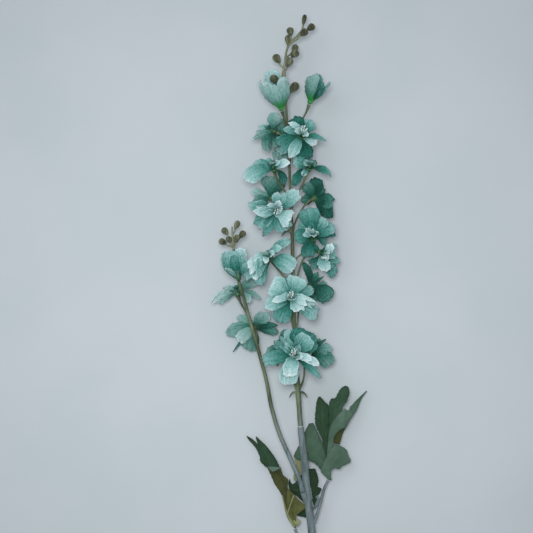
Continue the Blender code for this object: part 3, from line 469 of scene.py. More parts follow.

# Blooms: where the calyx is, the way it faces, size, where its stalk leaves the stem, how far it bows out,
# how nicked its petals' edges are, and in the bells how long the closed heart is. Petals and frills end at a
# pixel of the photo and a height over the calyx; then width as it was cut, strength of dye together with
# painted shade on petals turned away and in the throat, and how pointed.
blooms = {
    "bloom_01": dict(calyx=(-9.5, 231, 24), faces=(-0.75, 0.35, -0.3), size=0.95, joins=214, nick=0.6,
        petals=[(251.2, 140.7, 4, 8, 0.3, 0.5), (268.6, 119, -9, 10, 0.3, 0.15),
                (257.5, 124.5, -12, 6, 0.3, 0.4), (279, 114, -4, 12, 0.36, 0.2),
                (269, 152, 6, 11, 0.5, 0.12), (277, 147, -4, 9, 0.55, 0.2), (284, 149, -10, 9, 0.5, 0.2),
                (256, 131, -8, 6, 0.5, 0.5)],
        frills=[(262, 128, -15, 5, 0.4, 0.3), (262, 136, -10, 5, 0.3, 0.3),
                (270, 124, -14, 5, 0.45, 0.3)]),
    "bloom_02": dict(calyx=(9, 226, 29), faces=(0.25, 0.6, 0.75), size=0.9, joins=207,
        petals=[(294.5, 116.2, 2, 11, 0.85, 0.2), (312.5, 121, 3, 13, 0.5, 0.2),
                (326.4, 143, 6, 5, 0.55, 0.5), (316, 146, 2, 9, 0.08, 0.2),
                (289.5, 159.5, 6, 10, 0.22, 0.35), (303.5, 160, -2, 14, 0.8, 0.2),
                (276.5, 146, -4, 8, 0.6, 0.25), (280, 156, -3, 8, 0.5, 0.3), (283, 131, 0, 6, 0.4, 0.3)],
        frills=[(288, 124, 8, 5, 0.12, 0.2), (294, 131, 12, 6, 0.08, 0.2), (303, 127, 12, 5, 0.1, 0.2),
                (308, 138, 12, 5, 0.1, 0.3)]),
    "bloom_03": dict(calyx=(-1.5, 224.5, 15.2), faces=(-0.3, -0.2, -0.9), size=0.9, joins=203,
        petals=[(281, 118, 0, 12, 0.55, 0.12), (275.3, 160.9, -4, 11, 0.45, 0.2),
                (285.5, 161, 1, 9, 0.5, 0.2), (280.5, 158, 2, 8, 0.4, 0.2), (277.5, 152, 3, 6, 0.25, 0.3),
                (297.8, 118.4, -4, 11, 0.8, 0.2), (272.1, 140.9, -6, 10, 0.6, 0.2),
                (302, 152.8, -8, 11, 0.85, 0.2)],
        frills=[]),
    "bloom_04": dict(calyx=(-11.5, 199, 31), faces=(-0.2, 0.75, 0.4), size=0.95, joins=172, nick=0.4,
        petals=[(248, 182.5, 2, 14, 0.3, 0.05), (255, 169.5, -1, 13, 0.38, 0.05),
                (264.5, 161.5, -3, 10, 0.48, 0.15), (276.6, 160.6, -6, 8, 0.45, 0.2),
                (290.5, 164, 8, 8.5, 0.05, 0.35), (283, 186, -4, 8, 0.7, 0.2)],
        frills=[(270, 163, 6, 5, 0.3, 0.3), (280, 164, 8, 5, 0.2, 0.3)]),
    "bloom_05": dict(calyx=(-10.5, 171, 30), faces=(0.05, -0.3, 0.95), size=1.1, joins=150,
        petals=[(247.3, 204, 6, 13, 0.45, 0.5), (253.5, 224, 2, 12, 0.55, 0.3),
                (258.5, 229.5, 3, 8, 0.4, 0.4), (263, 236.6, 1, 11, 0.55, 0.5),
                (286.5, 231, 1, 15, 0.45, 0.1), (298.5, 190, 8, 12, 0.3, 0.15),
                (276.7, 192, 7, 8, 0.35, 0.2), (285, 192.5, 9, 7, 0.35, 0.3)],
        frills=[(252.6, 211.3, 12, 8, 0.2, 0.3), (256, 207, 10, 6, 0.3, 0.3),
                (258, 216, 11, 6, 0.25, 0.3), (291, 220.5, 8, 17, 0.12, 0.02), (277, 214, 16, 8, 0, 0.1),
                (283, 208, 15, 6, 0.1, 0.2), (268, 204, 13, 7, 0.15, 0.2), (279, 200, 13, 6, 0.15, 0.2)]),
    "bloom_06": dict(calyx=(19, 178, 20), faces=(0.45, 0.15, -0.85), size=1, joins=150,
        petals=[(335, 199.5, -4, 10, 0.8, 0.35), (333, 208, -2, 9, 0.75, 0.3),
                (330, 219, 1, 12, 0.95, 0.35), (323.2, 186, -5, 8, 0.85, 0.12),
                (313.9, 177, -3, 13, 0.9, 0.2), (303, 184, -2, 10, 0.6, 0.2), (301, 200, -6, 9, 0.7, 0.3)],
        frills=[]),
    "bloom_07": dict(calyx=(15, 199.5, 29), faces=(0.25, 0.8, 0.2), size=0.9, joins=168,
        petals=[(331, 177.5, 3, 8, 0.6, 0.5), (326, 174.5, 0, 6, 0.8, 0.5), (305, 160, -4, 15, 0.7, 0.1),
                (315, 160.5, -2, 8, 0.8, 0.3), (294.5, 187, 2, 8, 0.75, 0.3),
                (302.6, 177, 4, 5, 0.3, 0.3), (292.5, 164.5, 3, 11, 0.45, 0.15)],
        frills=[(309, 163, 8, 8, 0.4, 0.2), (315, 166, 6, 6, 0.6, 0.2), (303, 165, 8, 6, 0.35, 0.2)]),
    "bloom_08": dict(calyx=(20, 144.5, 25), faces=(-0.1, 0.7, 0.65), size=1, joins=125, nick=0.5,
        petals=[(308, 207.5, 3, 19, 0.58, 0.06), (323, 217, 4, 17, 0.46, 0.05),
                (335.5, 228.5, 5, 12, 0.5, 0.1), (336, 236, 2, 7, 0.8, 0.4),
                (309, 257, -4, 12, 0.62, 0.12), (326, 243, -2, 11, 0.6, 0.2),
                (294.6, 239.8, 3, 13, 0.65, 0.2), (299, 222, 0, 12, 0.55, 0.2)],
        frills=[(304.5, 228.5, 12, 4, 0.12, 0.4), (308.5, 227.5, 13, 4, 0.1, 0.4),
                (312.5, 229, 13, 4, 0.12, 0.4), (318.6, 233, 12, 5, 0.3, 0.4),
                (302, 236, 10, 6, 0.3, 0.3), (314, 238, 14, 6, 0.2, 0.3)]),
    "bloom_09": dict(calyx=(23, 136, 22), faces=(0.7, -0.25, 0.5), size=1, joins=98,
        petals=[(324, 272.3, 9, 12, 0.2, 0.1), (337, 244, 4, 8, 0.45, 0.4), (336.5, 250, 3, 8, 0.4, 0.4),
                (337.5, 256, 2, 8, 0.45, 0.4), (341, 263, 0, 9, 0.55, 0.45), (337, 270, -1, 7, 0.5, 0.4),
                (307, 246, -3, 9, 0.5, 0.2), (333.5, 278, -3, 11, 0.6, 0.12),
                (309.5, 264, -4, 13, 0.6, 0.1)],
        frills=[(331, 243, 8, 7, 0.08, 0.2), (335, 247, 7, 4, 0.35, 0.5), (329, 250, 9, 8, 0.1, 0.2),
                (336, 259, 6, 4, 0.4, 0.5), (328.5, 259, 10, 7, 0.05, 0.2), (322, 258, 11, 6, 0.1, 0.2)]),
    "bloom_10": dict(calyx=(-14, 128.5, 28), faces=(-0.4, 0.65, 0.6), size=1, joins=100, nick=0.6,
        petals=[(293.8, 270.5, 4, 16, 0.28, 0.1), (291.3, 241, 6, 8.5, 0.4, 0.15),
                (248, 268.6, 6, 9, 0.08, 0.2), (252, 257.5, 3, 9, 0.3, 0.3),
                (246.5, 281, 1, 10, 0.45, 0.25), (255.3, 281, 4, 9, 0.15, 0.3),
                (261.5, 286, 2, 10, 0.5, 0.2)],
        frills=[(262, 253, 10, 6, 0.3, 0.3), (266, 264, 12, 5, 0.05, 0.2), (283, 247.5, 9, 7, 0.3, 0.3),
                (275, 254, 10, 6, 0.15, 0.3), (254, 262, 9, 7, 0.12, 0.3), (256, 271, 9, 6, 0.3, 0.3),
                (251, 276, 7, 6, 0.1, 0.3), (259, 278, 8, 5, 0.45, 0.3)]),
    "bloom_11": dict(calyx=(14.5, 107.5, 20), faces=(0.7, 0.3, -0.6), size=1, joins=70, bows=0.4,
        petals=[(300.9, 261.6, -3, 7, 0.85, 0.3), (318.6, 271.2, -3, 6, 0.75, 0.3),
                (324.9, 275.7, -3, 3.5, 0.85, 0.5), (328.5, 286, -8, 15, 0.55, 0.15),
                (328.8, 301, 2, 16, 0.75, 0.12), (313, 302, -10, 12, 0.75, 0.2)],
        frills=[]),
    "bloom_12": dict(calyx=(1.5, 96.5, 30), faces=(0.02, 0.45, 0.9), size=1.1, joins=72, bows=-0.35, nick=0.4,
        petals=[(271, 284, 6, 20, 0.28, 0.02), (298.5, 276.5, 6, 19, 0.34, 0.05),
                (286, 278, -1, 16, 0.55, 0.1), (314, 289.4, 0, 10, 0.45, 0.2),
                (264.5, 307.5, 6, 12, 0.3, 0.2), (279, 322.9, 3, 15, 0.55, 0.15),
                (316.5, 318.4, 3, 13, 0.38, 0.2), (315.4, 306, 6, 5, 0.1, 0.5),
                (319.9, 310.4, 4, 4, 0.5, 0.6)],
        frills=[(300, 310, 10, 13, 0.15, 0.08), (271.6, 302, 9, 6, 0.05, 0.3),
                (307, 299, 10, 6, 0.1, 0.3), (281, 296, 10, 6, 0.25, 0.3), (293, 291, 10, 6, 0.35, 0.3),
                (307, 306, 11, 6, 0.05, 0.3), (316, 302, 8, 4, 0.05, 0.5), (319.5, 306, 6, 3, 0.3, 0.5),
                (313, 309, 8, 3.5, 0.25, 0.5), (304, 311, 9, 5, 0.15, 0.3)]),
    "bloom_13": dict(calyx=(6.5, 51, 31), faces=(-0.25, 0.4, 0.87), size=1.15, joins=24, bows=-0.75, nick=0.4,
        petals=[(309, 335, 11, 18, 0.44, 0.06), (303, 327.5, 3, 17, 0.75, 0.1),
                (314.5, 334, 1, 14, 0.7, 0.12), (317, 343, 4, 12, 0.65, 0.15),
                (287, 328.4, -2, 9, 0.35, 0.2), (273.5, 339.4, 6, 6, 0.5, 0.4),
                (272.2, 344.5, 5, 5, 0.6, 0.4), (279.7, 336, 4, 6, 0.5, 0.3),
                (262.5, 361, 5, 12, 0.5, 0.03), (288, 384.5, 7, 16, 0.24, 0.1),
                (321, 377.5, 5, 7, 0.5, 0.4)],
        frills=[(276, 341, 9, 4, 0.6, 0.5), (281, 337, 9, 4, 0.5, 0.5), (278, 345, 10, 4, 0.5, 0.5),
                (284, 341, 11, 4, 0.35, 0.5), (287, 336, 9, 5, 0.5, 0.4),
                (289.4, 376.7, 12, 13, 0.12, 0.06), (319.5, 364.6, 9, 7, 0.08, 0.2),
                (312, 359.5, 12, 7, 0.05, 0.2), (303, 357, 13, 7, 0.12, 0.2), (290, 345, 10, 6, 0.4, 0.3),
                (283, 346, 10, 6, 0.45, 0.3), (300, 344, 11, 6, 0.45, 0.3)]),
    "bloom_14": dict(calyx=(17, 57, 21), faces=(0.7, 0.1, -0.55), size=1, joins=25, bows=0.8, nick=0.5,
        petals=[(333, 349, -3, 12, 0.45, 0.3), (329.8, 366, 1, 14, 0.6, 0.08),
                (326.8, 338.8, -6, 4, 0.8, 0.5), (320.4, 338.5, -6, 6, 0.7, 0.4),
                (316, 366, -10, 8, 0.85, 0.2)],
        frills=[]),
    "bloom_15": dict(calyx=(-1, 59, 16), faces=(-0.6, 0.35, -0.5), size=0.9, joins=30,
        petals=[(273.5, 341.5, 1, 6, 0.7, 0.5), (279.5, 335, -3, 7, 0.7, 0.4),
                (288, 329, -8, 9, 0.65, 0.2), (265.9, 355, -6, 9, 0.6, 0.2), (277, 367, -8, 9, 0.65, 0.2)],
        frills=[]),
    "bloom_16": dict(calyx=(-13, 177, 19), faces=(-0.35, 0.5, -0.6), size=0.95, joins=160,
        petals=[(270, 175.5, -2, 16, 0.55, 0.12), (249.5, 189.5, -5, 8, 0.22, 0.2),
                (286, 180, -3, 10, 0.7, 0.2), (252, 204, -4, 9, 0.5, 0.3)],
        frills=[]),
}
sideBlooms = {
    "side_bloom_01": dict(calyx=(-40.5, 99.5, 18), faces=(-0.3, 0.85, -0.35), size=0.95, joins=74,
        petals=[(211.5, 304.5, 1, 8, 0.02, 0.4), (219.2, 305.5, -3, 8, 0.35, 0.5),
                (222.9, 288.1, -4, 4, 0.45, 0.5), (229.8, 284.9, -8, 6, 0.18, 0.3),
                (235, 282.6, -12, 8, 0.22, 0.3), (261, 282.6, -5, 9, 0.32, 0.35),
                (260.1, 300.5, 1, 5, 0.4, 0.5), (248.6, 303.2, 2, 8, 0.22, 0.3)],
        frills=[(222.5, 288, -3, 4, 0.12, 0.5), (226.5, 285.5, -5, 4, 0.3, 0.5),
                (223, 293, 0, 4, 0.1, 0.5), (229, 291, -8, 5, 0.1, 0.3), (236, 287, -10, 5, 0.3, 0.3)]),
    "side_bloom_02": dict(calyx=(-27, 75, 15.6), faces=(-0.05, 0.1, -0.95), size=1.1, joins=57,
        petals=[(224.7, 333.2, -4, 13, 0.42, 0.3), (238, 341.8, -1, 11, 0.1, 0.15),
                (232.3, 353.6, -3, 3, 0.7, 0.6), (247.5, 351, -5, 15, 0.6, 0.08),
                (277.8, 325.3, -4, 6, 0.8, 0.4), (278.5, 333.5, -5, 7, 0.7, 0.15),
                (262, 311.5, -6, 8, 0.4, 0.3), (271, 313.5, -6, 9, 0.35, 0.3),
                (237, 315.8, -6, 9, 0.35, 0.2)],
        frills=[]),
}
bells = {
    "bell_top_left": dict(calyx=(-5.5, 247.5, 30), faces=(-0.3, 0.95, 0.05), size=1.2, joins=222, heart=15,
        petals=[(269.5, 69.5, -6, 17, 0.3, 0.05), (259, 80, 3, 13, 0.2, 0.3), (265, 83, 5, 13, 0.28, 0.1),
                (283, 77.5, 7, 14, 0.24, 0.1), (287.5, 88, 2, 9, 0.35, 0.2), (272, 86, 6, 12, 0.3, 0.12)]),
    "bell_top_right": dict(calyx=(16, 253, 27), faces=(0.3, 0.93, 0.05), size=0.95, joins=218, heart=15,
        petals=[(310.5, 76.5, 3, 11, 0.5, 0.12), (317, 74, 5, 10, 0.38, 0.12),
                (330.5, 82, 0, 8, 0.48, 0.3), (319, 74, -6, 12, 0.62, 0.1), (323, 82, -2, 9, 0.65, 0.2)]),
}
sideBells = {
    "side_bell": dict(calyx=(-40, 112, 30), faces=(-0.15, 0.97, 0.1), size=1.05, joins=92, heart=6,
        petals=[(228.5, 251, -4, 20, 0.44, 0.03), (240, 247, -3, 14, 0.26, 0.05),
                (248.6, 262, 2, 10, 0.42, 0.2), (225.5, 268, 4, 8, 0.3, 0.2),
                (233.5, 255, -2, 9, 0.62, 0.12), (233, 252, -6, 18, 0.5, 0.05)]),
}

spikeRoutes = [smoothRoute(spikeStem, stemLooks["step"])]
spikeRoutes += [pedicelRoute(spikeStem, head) for head in {**blooms, **bells}.values()]
spikeRoutes += [bractRoute(spikeStem, *row) for row in bracts]
makeStalks("spike_moulding", spikeRoutes, upperSizes, oliveStalk, "spike_stem")
sideRoutes = [smoothRoute(sideBranch, stemLooks["step"])]
sideRoutes += [pedicelRoute(sideBranch, head) for head in {**sideBlooms, **sideBells}.values()]
makeStalks("side_branch_moulding", sideRoutes, upperSizes, oliveStalk, "side_branch")
print("stems made")


# Stem ends, and buds as (x, y, z, radius, length).
mainTip = [(-2.6, 255, 24, 1.1), (-4, 274, 24, 1.0), (-4.2, 276.4, 24, 1.8), (-4.2, 278.8, 24, 1.6),
           (-4.1, 281, 24, 0.95), (-1.8, 296.8, 24, 0.85), (1.6, 303.2, 24, 0.8), (5.6, 307.4, 24, 0.7),
           (10.4, 313, 24, 0.6)]
sideTip = [(-44.4, 138.6, 24, 1.0), (-45, 147, 24, 0.8), (-45.6, 156, 24, 0.6)]
mainBuds = [(12, 321, 24, 1.9, 9.0), (17.4, 314.8, 25, 3.0, 7.2), (11.6, 310.4, 28, 3.2, 7.6),
            (1, 311.5, 25, 2.9, 7.2), (-0.7, 305.2, 21.5, 2.8, 8.4), (4.6, 298.6, 20.5, 2.7, 6.6),
            (4.4, 293.6, 27.5, 3.4, 7.6), (-0.2, 286.6, 28.5, 3.2, 9.0), (-9.6, 289.8, 24, 3.2, 8.4),
            (-11.4, 273, 28, 3.3, 9.0), (3.9, 266.8, 25, 3.5, 10)]
sideBuds = [(-51, 152, 24, 2.6, 7.0), (-41.8, 157.2, 24, 2.4, 7.6), (-37.6, 149.4, 25, 2.6, 7.4),
            (-52.8, 143.6, 25, 2.7, 7.2), (-47.8, 145.2, 28.4, 2.5, 6.6), (-42, 146, 28, 2.6, 7.6)]
budProfile = [(0, -1), (0.2, -0.97), (0.42, -0.82), (0.62, -0.58), (0.82, -0.28), (0.96, 0.05), (1, 0.32),
              (0.9, 0.6), (0.66, 0.82), (0.34, 0.95), (0, 1)]
# A bud's stalk leaves the stem "below" the bud and sags; its radius changes from the stem to the bud.
budLooks = dict(sides=14, flute=0.045, below=8, sag=(0, -1.2, 0), stalk=(0.75, 0.7, 0.65, 0.7, 0.9))
budSizes = {"Sides": 8}


def makeBudTree():
    tree, add, inputs = newTree("buds on stalks", budSizes, Bud="Object", Stalk="Material", Flock="Material")
    isBud = add("GeometryNodeInputNamedAttribute", {"Name": "bud"}, data_type="FLOAT")
    split = add("GeometryNodeSeparateGeometry", {"Geometry": inputs["Geometry"], "Selection": isBud})
    stalks = addTubes(add, split.outputs["Inverted"], inputs["Sides"])
    aim, size = (add("GeometryNodeInputNamedAttribute", {"Name": label}, data_type="FLOAT_VECTOR")
                 for label in ("aim", "size"))
    turn = add("FunctionNodeAlignRotationToVector", {"Vector": aim}, axis="Z")
    form = add("GeometryNodeObjectInfo", {"Object": inputs["Bud"]}, transform_space="ORIGINAL")
    buds = add("GeometryNodeInstanceOnPoints", {"Points": split.outputs["Selection"],
                                                "Instance": form.outputs["Geometry"], "Rotation": turn,
                                                "Scale": size})
    buds = add("GeometryNodeRealizeInstances", {"Geometry": buds})
    both = add("GeometryNodeJoinGeometry", {0: [stalks, buds]})
    dress(add, both, inputs["Stalk"], (isBud, inputs["Flock"]))
    return tree


budTree = makeBudTree()
budMesh = meshOf("bud form", *turned(budProfile, budLooks["sides"], budLooks["flute"]))
budForm = bpy.data.objects.new("bud form", budMesh)


def makeTip(name, stem, buds, node):  # a thin stem end with closed buds, each on its own short stalk
    rows, edges = [], []
    routes = [smoothRoute(stem, stemLooks["step"])]
    for x, y, z, radius, length in buds:
        bud = np.array((x, y, z), float)
        foot = np.array(pointAt(stem, max(stem[0][1] + 1, y - budLooks["below"]))[:3])
        bend = (foot + bud) / 2 + np.array(budLooks["sag"])
        stops = (foot, (foot + bend) / 2, bend, (bend + bud) / 2, bud)
        routes.append([(*spot, wide) for spot, wide in zip(stops, budLooks["stalk"])])
        way = bud - foot
        rows.append((bud * mm, 0, 1, way / np.linalg.norm(way), (radius * mm, radius * mm, length / 2 * mm)))
    for route in routes:
        edges += [(len(rows) + k, len(rows) + k + 1) for k in range(len(route) - 1)]
        rows += [(np.array(p[:3]) * mm, p[3] * mm, 0, (0, 0, 1), (1, 1, 1)) for p in route]
    verts, radii, isBud, aims, sizes = zip(*rows)
    mesh = meshOf(name, verts, edges=edges, radius=radii, bud=isBud, aim=aims, size=sizes)
    place(grown(name, mesh, budTree, **budSizes, Bud=budForm, Stalk=tipStalk, Flock=flock), node)


makeTip("main_tip_buds", mainTip, mainBuds, "main_bud_tip")
makeTip("side_tip_buds", sideTip, sideBuds, "side_bud_tip")
print("buds made")


# Petal forms: drawnIn is the share of its cut width that a crushed petal keeps, rise is the angle from the
# bloom's axis at the foot, foot is (reach, height) in the cup, roll is how far it turns its broad side up.
outerPetal = dict(drawnIn=0.94, rise=30, cup=0.2, twist=0.14, wave=0.9, foot=(1.3, 1.9), claw=0.75, roll=0.7)
innerPetal = dict(drawnIn=0.94, rise=20, cup=0.3, twist=0.16, wave=0.8, foot=(0.8, 5.2), claw=0.8, roll=0.7)
bellPetal = dict(drawnIn=0.8, rise=36, cup=0.3, twist=0.14, wave=0.5, foot=(1.0, 1.6), claw=1.4, roll=0.45)
heartPetal = dict(rise=20, cup=0.4, twist=0.3, wave=0.4, foot=(0.7, 3.0), claw=1.0, roll=0)
# A bloom that faces along Y takes up from Z. A petal turns over by mostOver radians at most, its ends lie at
# most halfTurn degrees off its chord, and it is never quite straight, because its midline is an arc.
bending = dict(leastUp=0.35, mostOver=1.0, halfTurn=45, leastSwing=0.02)
# Cloth is its thickness; Frill, Crumple and Pleat are how far it is thrown up, in millimetres.
silkSizes = {"Rows": 22, "Columns": 14, "Cloth": 0.28 * mm, "Frill": 1.0, "Frills": 5.5, "Crumple": 2.3,
             "Ragged": 16.0, "Pleat": 0.45, "Floor lift": 0.45 * mm}
# Shares of a petal's length or half width: how its outline swells, nicks and frays, and how its cloth lies.
outline = dict(nicks=7.0, nickDepth=0.03, nickMean=0.028, swellRun=0.72 * math.pi, swellFoot=0.05 * math.pi,
               swell=0.43, narrowest=0.07, offBeat=1.7, fray=0.045, clawEdge=-0.1)
drape = dict(waves=2.2 * math.pi, slantedFrill=0.35, frillAtRim=1.5, creases=0.22, creaseDetail=1.5,
             pleats=7.5, rolledBy=0.45)
stamenForm = dict(sides=6, tip=0.28, foot=0.42, tall=6.4, beadSides=8, beadRings=5, bead=0.75,
                  beadAt=(0, 0, 6.8), beadScale=(0.8, 0.8, 1.35))
# The turned bodies that carry the petals, as (radius, height) rows, and how many sides each has.
carriers = dict(
    cup=([(0, 0.3), (1.1, 0.3), (1.75, 0.7), (2.2, 1.5), (2.5, 2.3), (2.65, 3.0), (2.3, 3.1), (0, 2.6)], 14),
    heart=([(0, 3.1), (1.1, 3.1), (1.2, 4.6), (1.4, 6), (1.3, 7), (0.9, 7.6), (0, 7.8)], 12),
    bell=([(0, 0.3), (0.9, 0.45), (1.8, 1.3), (2.3, 2.8), (2.4, 4.4), (2.1, 6.2), (1.2, 7.4), (0, 7.6)], 16))


def frameOf(faces):  # (right, up, axis) of a bloom: up is as near +Y as the axis allows
    axis = Vector(faces).normalized()
    up = Vector((0, 1, 0)) - axis * axis.y
    if up.length < bending["leastUp"]:
        up = Vector((0, 0, 1)) - axis * axis.z
    up.normalize()
    return up.cross(axis), up, axis


def aimAt(bloom, form, x, y, height):  # (turn, opening, chord) of the petal of a bloom that ends at a tip
    offset = Vector((x - bloom["calyx"][0], y - bloom["calyx"][1], height))
    across, along, out = (offset.dot(side) for side in frameOf(bloom["faces"]))
    reach, out = math.hypot(across, along) - form["foot"][0], out - form["foot"][1]
    turn, opens = math.degrees(math.atan2(across, along)), math.degrees(math.atan2(reach, out))
    return turn, opens, math.hypot(reach, out)


def rollOf(bloom, form, turn, opens):  # how far a petal turns about its length to lie with its broad side up
    side, up, axis = (Vector(way) for way in frameOf(bloom["faces"]))
    turn, opens = math.radians(turn), math.radians(opens)
    radial = side * math.sin(turn) + up * math.cos(turn)
    width = side * math.cos(turn) - up * math.sin(turn)
    face = axis * math.sin(opens) - radial * math.cos(opens)
    whole = math.atan2(width.z, face.z) if face.z >= 0 else math.atan2(-width.z, -face.z)
    return max(-bending["mostOver"], min(bending["mostOver"], form["roll"] * whole))


def petalPoint(form, turn, opens, chord, width, dye, point, phase, roll=0.0):
    # one petal as the numbers that the tree bends it by: its midline is an arc whose chord opens by the angle
    opens = math.radians(opens)
    rise = max(math.radians(form["rise"]), opens - math.radians(bending["halfTurn"]))
    swing = 2 * (opens - rise)
    swing = swing if abs(swing) > bending["leastSwing"] else bending["leastSwing"]
    length = chord * (swing / 2) / math.sin(swing / 2)
    return dict(turn=math.radians(turn), rise=rise, swing=swing, bend=length / swing,
                footReach=form["foot"][0], footHeight=form["foot"][1], width=width, point=point, phase=phase,
                dye=dye, roll=roll, **{label: form[label] for label in ("claw", "cup", "twist", "wave")})


def addThickCloth(add, sheet, thickness):  # the right side pushed out, its cut edge and the wrong side
    thick = add("GeometryNodeExtrudeMesh", {"Mesh": sheet, "Offset Scale": thickness, "Individual": False},
                mode="FACES")
    right = add("GeometryNodeStoreNamedAttribute", {"Geometry": thick.outputs["Mesh"], "Name": "front",
                                                    "Selection": thick.outputs["Top"], "Value": 1.0},
                data_type="FLOAT", domain="FACE")
    wrong = add("GeometryNodeFlipFaces", {"Mesh": sheet})
    cloth = add("GeometryNodeJoinGeometry", {0: [right, wrong]})
    return add("GeometryNodeMergeByDistance", {"Geometry": cloth, "Distance": 0.002 * mm})


def makeBloomTree():
    tree, add, inputs = newTree("silk petals round a bloom's axis", silkSizes, Nick="Float", Calyx="Vector",
                                Lean="Vector", Silk="Material", Carrier="Material", Thread="Material")
    read = {label: add("GeometryNodeInputNamedAttribute", {"Name": label}, data_type="FLOAT")
            for label in ("kind", "along", "across", "turn", "rise", "swing", "bend", "footReach",
                          "footHeight", "width", "claw", "cup", "twist", "wave", "point", "phase", "roll")}
    # points of kind 0 are the carrier's, 1 a petal each and 2 a stamen each
    isCarrier = add("ShaderNodeMath", (read["kind"], 0.5), "LESS_THAN")
    isStamen = add("ShaderNodeMath", (read["kind"], 1.5), "GREATER_THAN")
    split = add("GeometryNodeSeparateGeometry", {"Geometry": inputs["Geometry"], "Selection": isCarrier})
    sort = add("GeometryNodeSeparateGeometry", {"Geometry": split.outputs["Inverted"], "Selection": isStamen})
    # flat petals with their own coordinates for the cloth
    sheet = add("GeometryNodeMeshGrid", {"Size X": 2.0, "Size Y": 1.0, "Vertices X": inputs["Columns"],
                                         "Vertices Y": inputs["Rows"]})
    x, y, _ = add("ShaderNodeSeparateXYZ", (add("GeometryNodeInputPosition"),)).outputs
    up = add("ShaderNodeMath", (y, 0.5), "ADD")
    marked = sheet.outputs["Mesh"]
    for label, value in (("along", up), ("across", x)):
        marked = add("GeometryNodeStoreNamedAttribute", {"Geometry": marked, "Name": label, "Value": value},
                     data_type="FLOAT")
    copies = add("GeometryNodeInstanceOnPoints", {"Points": sort.outputs["Inverted"], "Instance": marked})
    petals = add("GeometryNodeRealizeInstances", {"Geometry": copies})
    s, t, phase = read["along"], read["across"], read["phase"]
    # the tip is rounded by drawing its corners back, a little unevenly
    tt = add("ShaderNodeMath", (t, t), "MULTIPLY")
    ss = add("ShaderNodeMath", (s, s), "MULTIPLY")
    nick = wavesOf(add, t, outline["nicks"], phase)
    nick = add("ShaderNodeMath", (nick, outline["nickDepth"], outline["nickMean"]), "MULTIPLY_ADD")
    nick = add("ShaderNodeMath", (nick, inputs["Nick"]), "MULTIPLY")
    corner = add("ShaderNodeMath", (tt, read["point"], nick), "MULTIPLY_ADD")
    drawn = add("ShaderNodeMath", (corner, ss), "MULTIPLY")
    drawn = add("ShaderNodeMath", (1.0, drawn), "SUBTRACT")
    run = add("ShaderNodeMath", (s, drawn), "MULTIPLY")
    # the midline bends along an arc
    angle = add("ShaderNodeMath", (read["swing"], run, read["rise"]), "MULTIPLY_ADD")
    cosAngle, cosRise = (add("ShaderNodeMath", (way,), "COSINE") for way in (angle, read["rise"]))
    sinAngle, sinRise = (add("ShaderNodeMath", (way,), "SINE") for way in (angle, read["rise"]))
    out = add("ShaderNodeMath", (cosRise, cosAngle), "SUBTRACT")
    reach = add("ShaderNodeMath", (read["bend"], out, read["footReach"]), "MULTIPLY_ADD")
    over = add("ShaderNodeMath", (sinAngle, sinRise), "SUBTRACT")
    height = add("ShaderNodeMath", (read["bend"], over, read["footHeight"]), "MULTIPLY_ADD")
    # the width swells from the claw to past the middle, with an uneven edge
    swell = wavesOf(add, run, outline["swellRun"], outline["swellFoot"])
    swell = add("ShaderNodeMath", (swell, outline["swell"], outline["narrowest"]), "MULTIPLY_ADD")
    half = add("ShaderNodeMath", (swell, read["width"]), "MULTIPLY")
    side = add("ShaderNodeMath", (t,), "SIGN")
    shift = add("ShaderNodeMath", (side, outline["offBeat"], phase), "MULTIPLY_ADD")
    ragged = wavesOf(add, s, inputs["Ragged"], shift)
    ragged = add("ShaderNodeMath", (ragged, inputs["Nick"]), "MULTIPLY")
    ragged = add("ShaderNodeMath", (ragged, outline["fray"], 1.0), "MULTIPLY_ADD")
    half = add("ShaderNodeMath", (half, ragged), "MULTIPLY")
    limit = add("ShaderNodeMath", (reach, read["claw"], outline["clawEdge"]), "MULTIPLY_ADD")
    half = add("ShaderNodeMath", (half, limit), "MINIMUM")
    acrossBy = add("ShaderNodeMath", (t, half), "MULTIPLY")
    # cupping and twist, one long wave with lengthwise pleats, fine frills along the rim, a crumple all over
    cup = add("ShaderNodeMath", (read["cup"], t, read["twist"]), "MULTIPLY_ADD")
    cup = add("ShaderNodeMath", (cup, t), "MULTIPLY")
    cup = add("ShaderNodeMath", (cup, half), "MULTIPLY")
    wave = add("ShaderNodeMath", (wavesOf(add, run, drape["waves"], phase), t), "MULTIPLY")
    wave = add("ShaderNodeMath", (wave, read["wave"]), "MULTIPLY")
    pleat = add("ShaderNodeMath", (wavesOf(add, t, drape["pleats"], phase), inputs["Pleat"]), "MULTIPLY")
    wave = add("ShaderNodeMath", (pleat, run, wave), "MULTIPLY_ADD")
    rimRun = add("ShaderNodeMath", (t, drape["slantedFrill"], run), "MULTIPLY_ADD")
    rimRun = add("ShaderNodeMath", (rimRun, inputs["Frills"]), "MULTIPLY")
    outward = add("ShaderNodeMath", (tt, ss), "MAXIMUM")
    outward = add("ShaderNodeMath", (outward, drape["frillAtRim"]), "POWER")
    frill = add("ShaderNodeMath", (wavesOf(add, rimRun, 2 * math.pi, phase), outward), "MULTIPLY")
    frill = add("ShaderNodeMath", (frill, inputs["Frill"]), "MULTIPLY")
    seed = add("ShaderNodeVectorMath", (add("ShaderNodeCombineXYZ", (acrossBy, reach, height)), phase), "ADD")
    noise = add("ShaderNodeTexNoise", {"Vector": seed, "Scale": drape["creases"],
                                       "Detail": drape["creaseDetail"]})
    crease = add("ShaderNodeMath", (noise.outputs["Fac"], 0.5), "SUBTRACT")
    crease = add("ShaderNodeMath", (crease, inputs["Crumple"]), "MULTIPLY")
    lift = add("ShaderNodeMath", (wave, frill), "ADD")
    lift = add("ShaderNodeMath", (lift, crease), "ADD")
    lift = add("ShaderNodeMath", (lift, run, cup), "MULTIPLY_ADD")
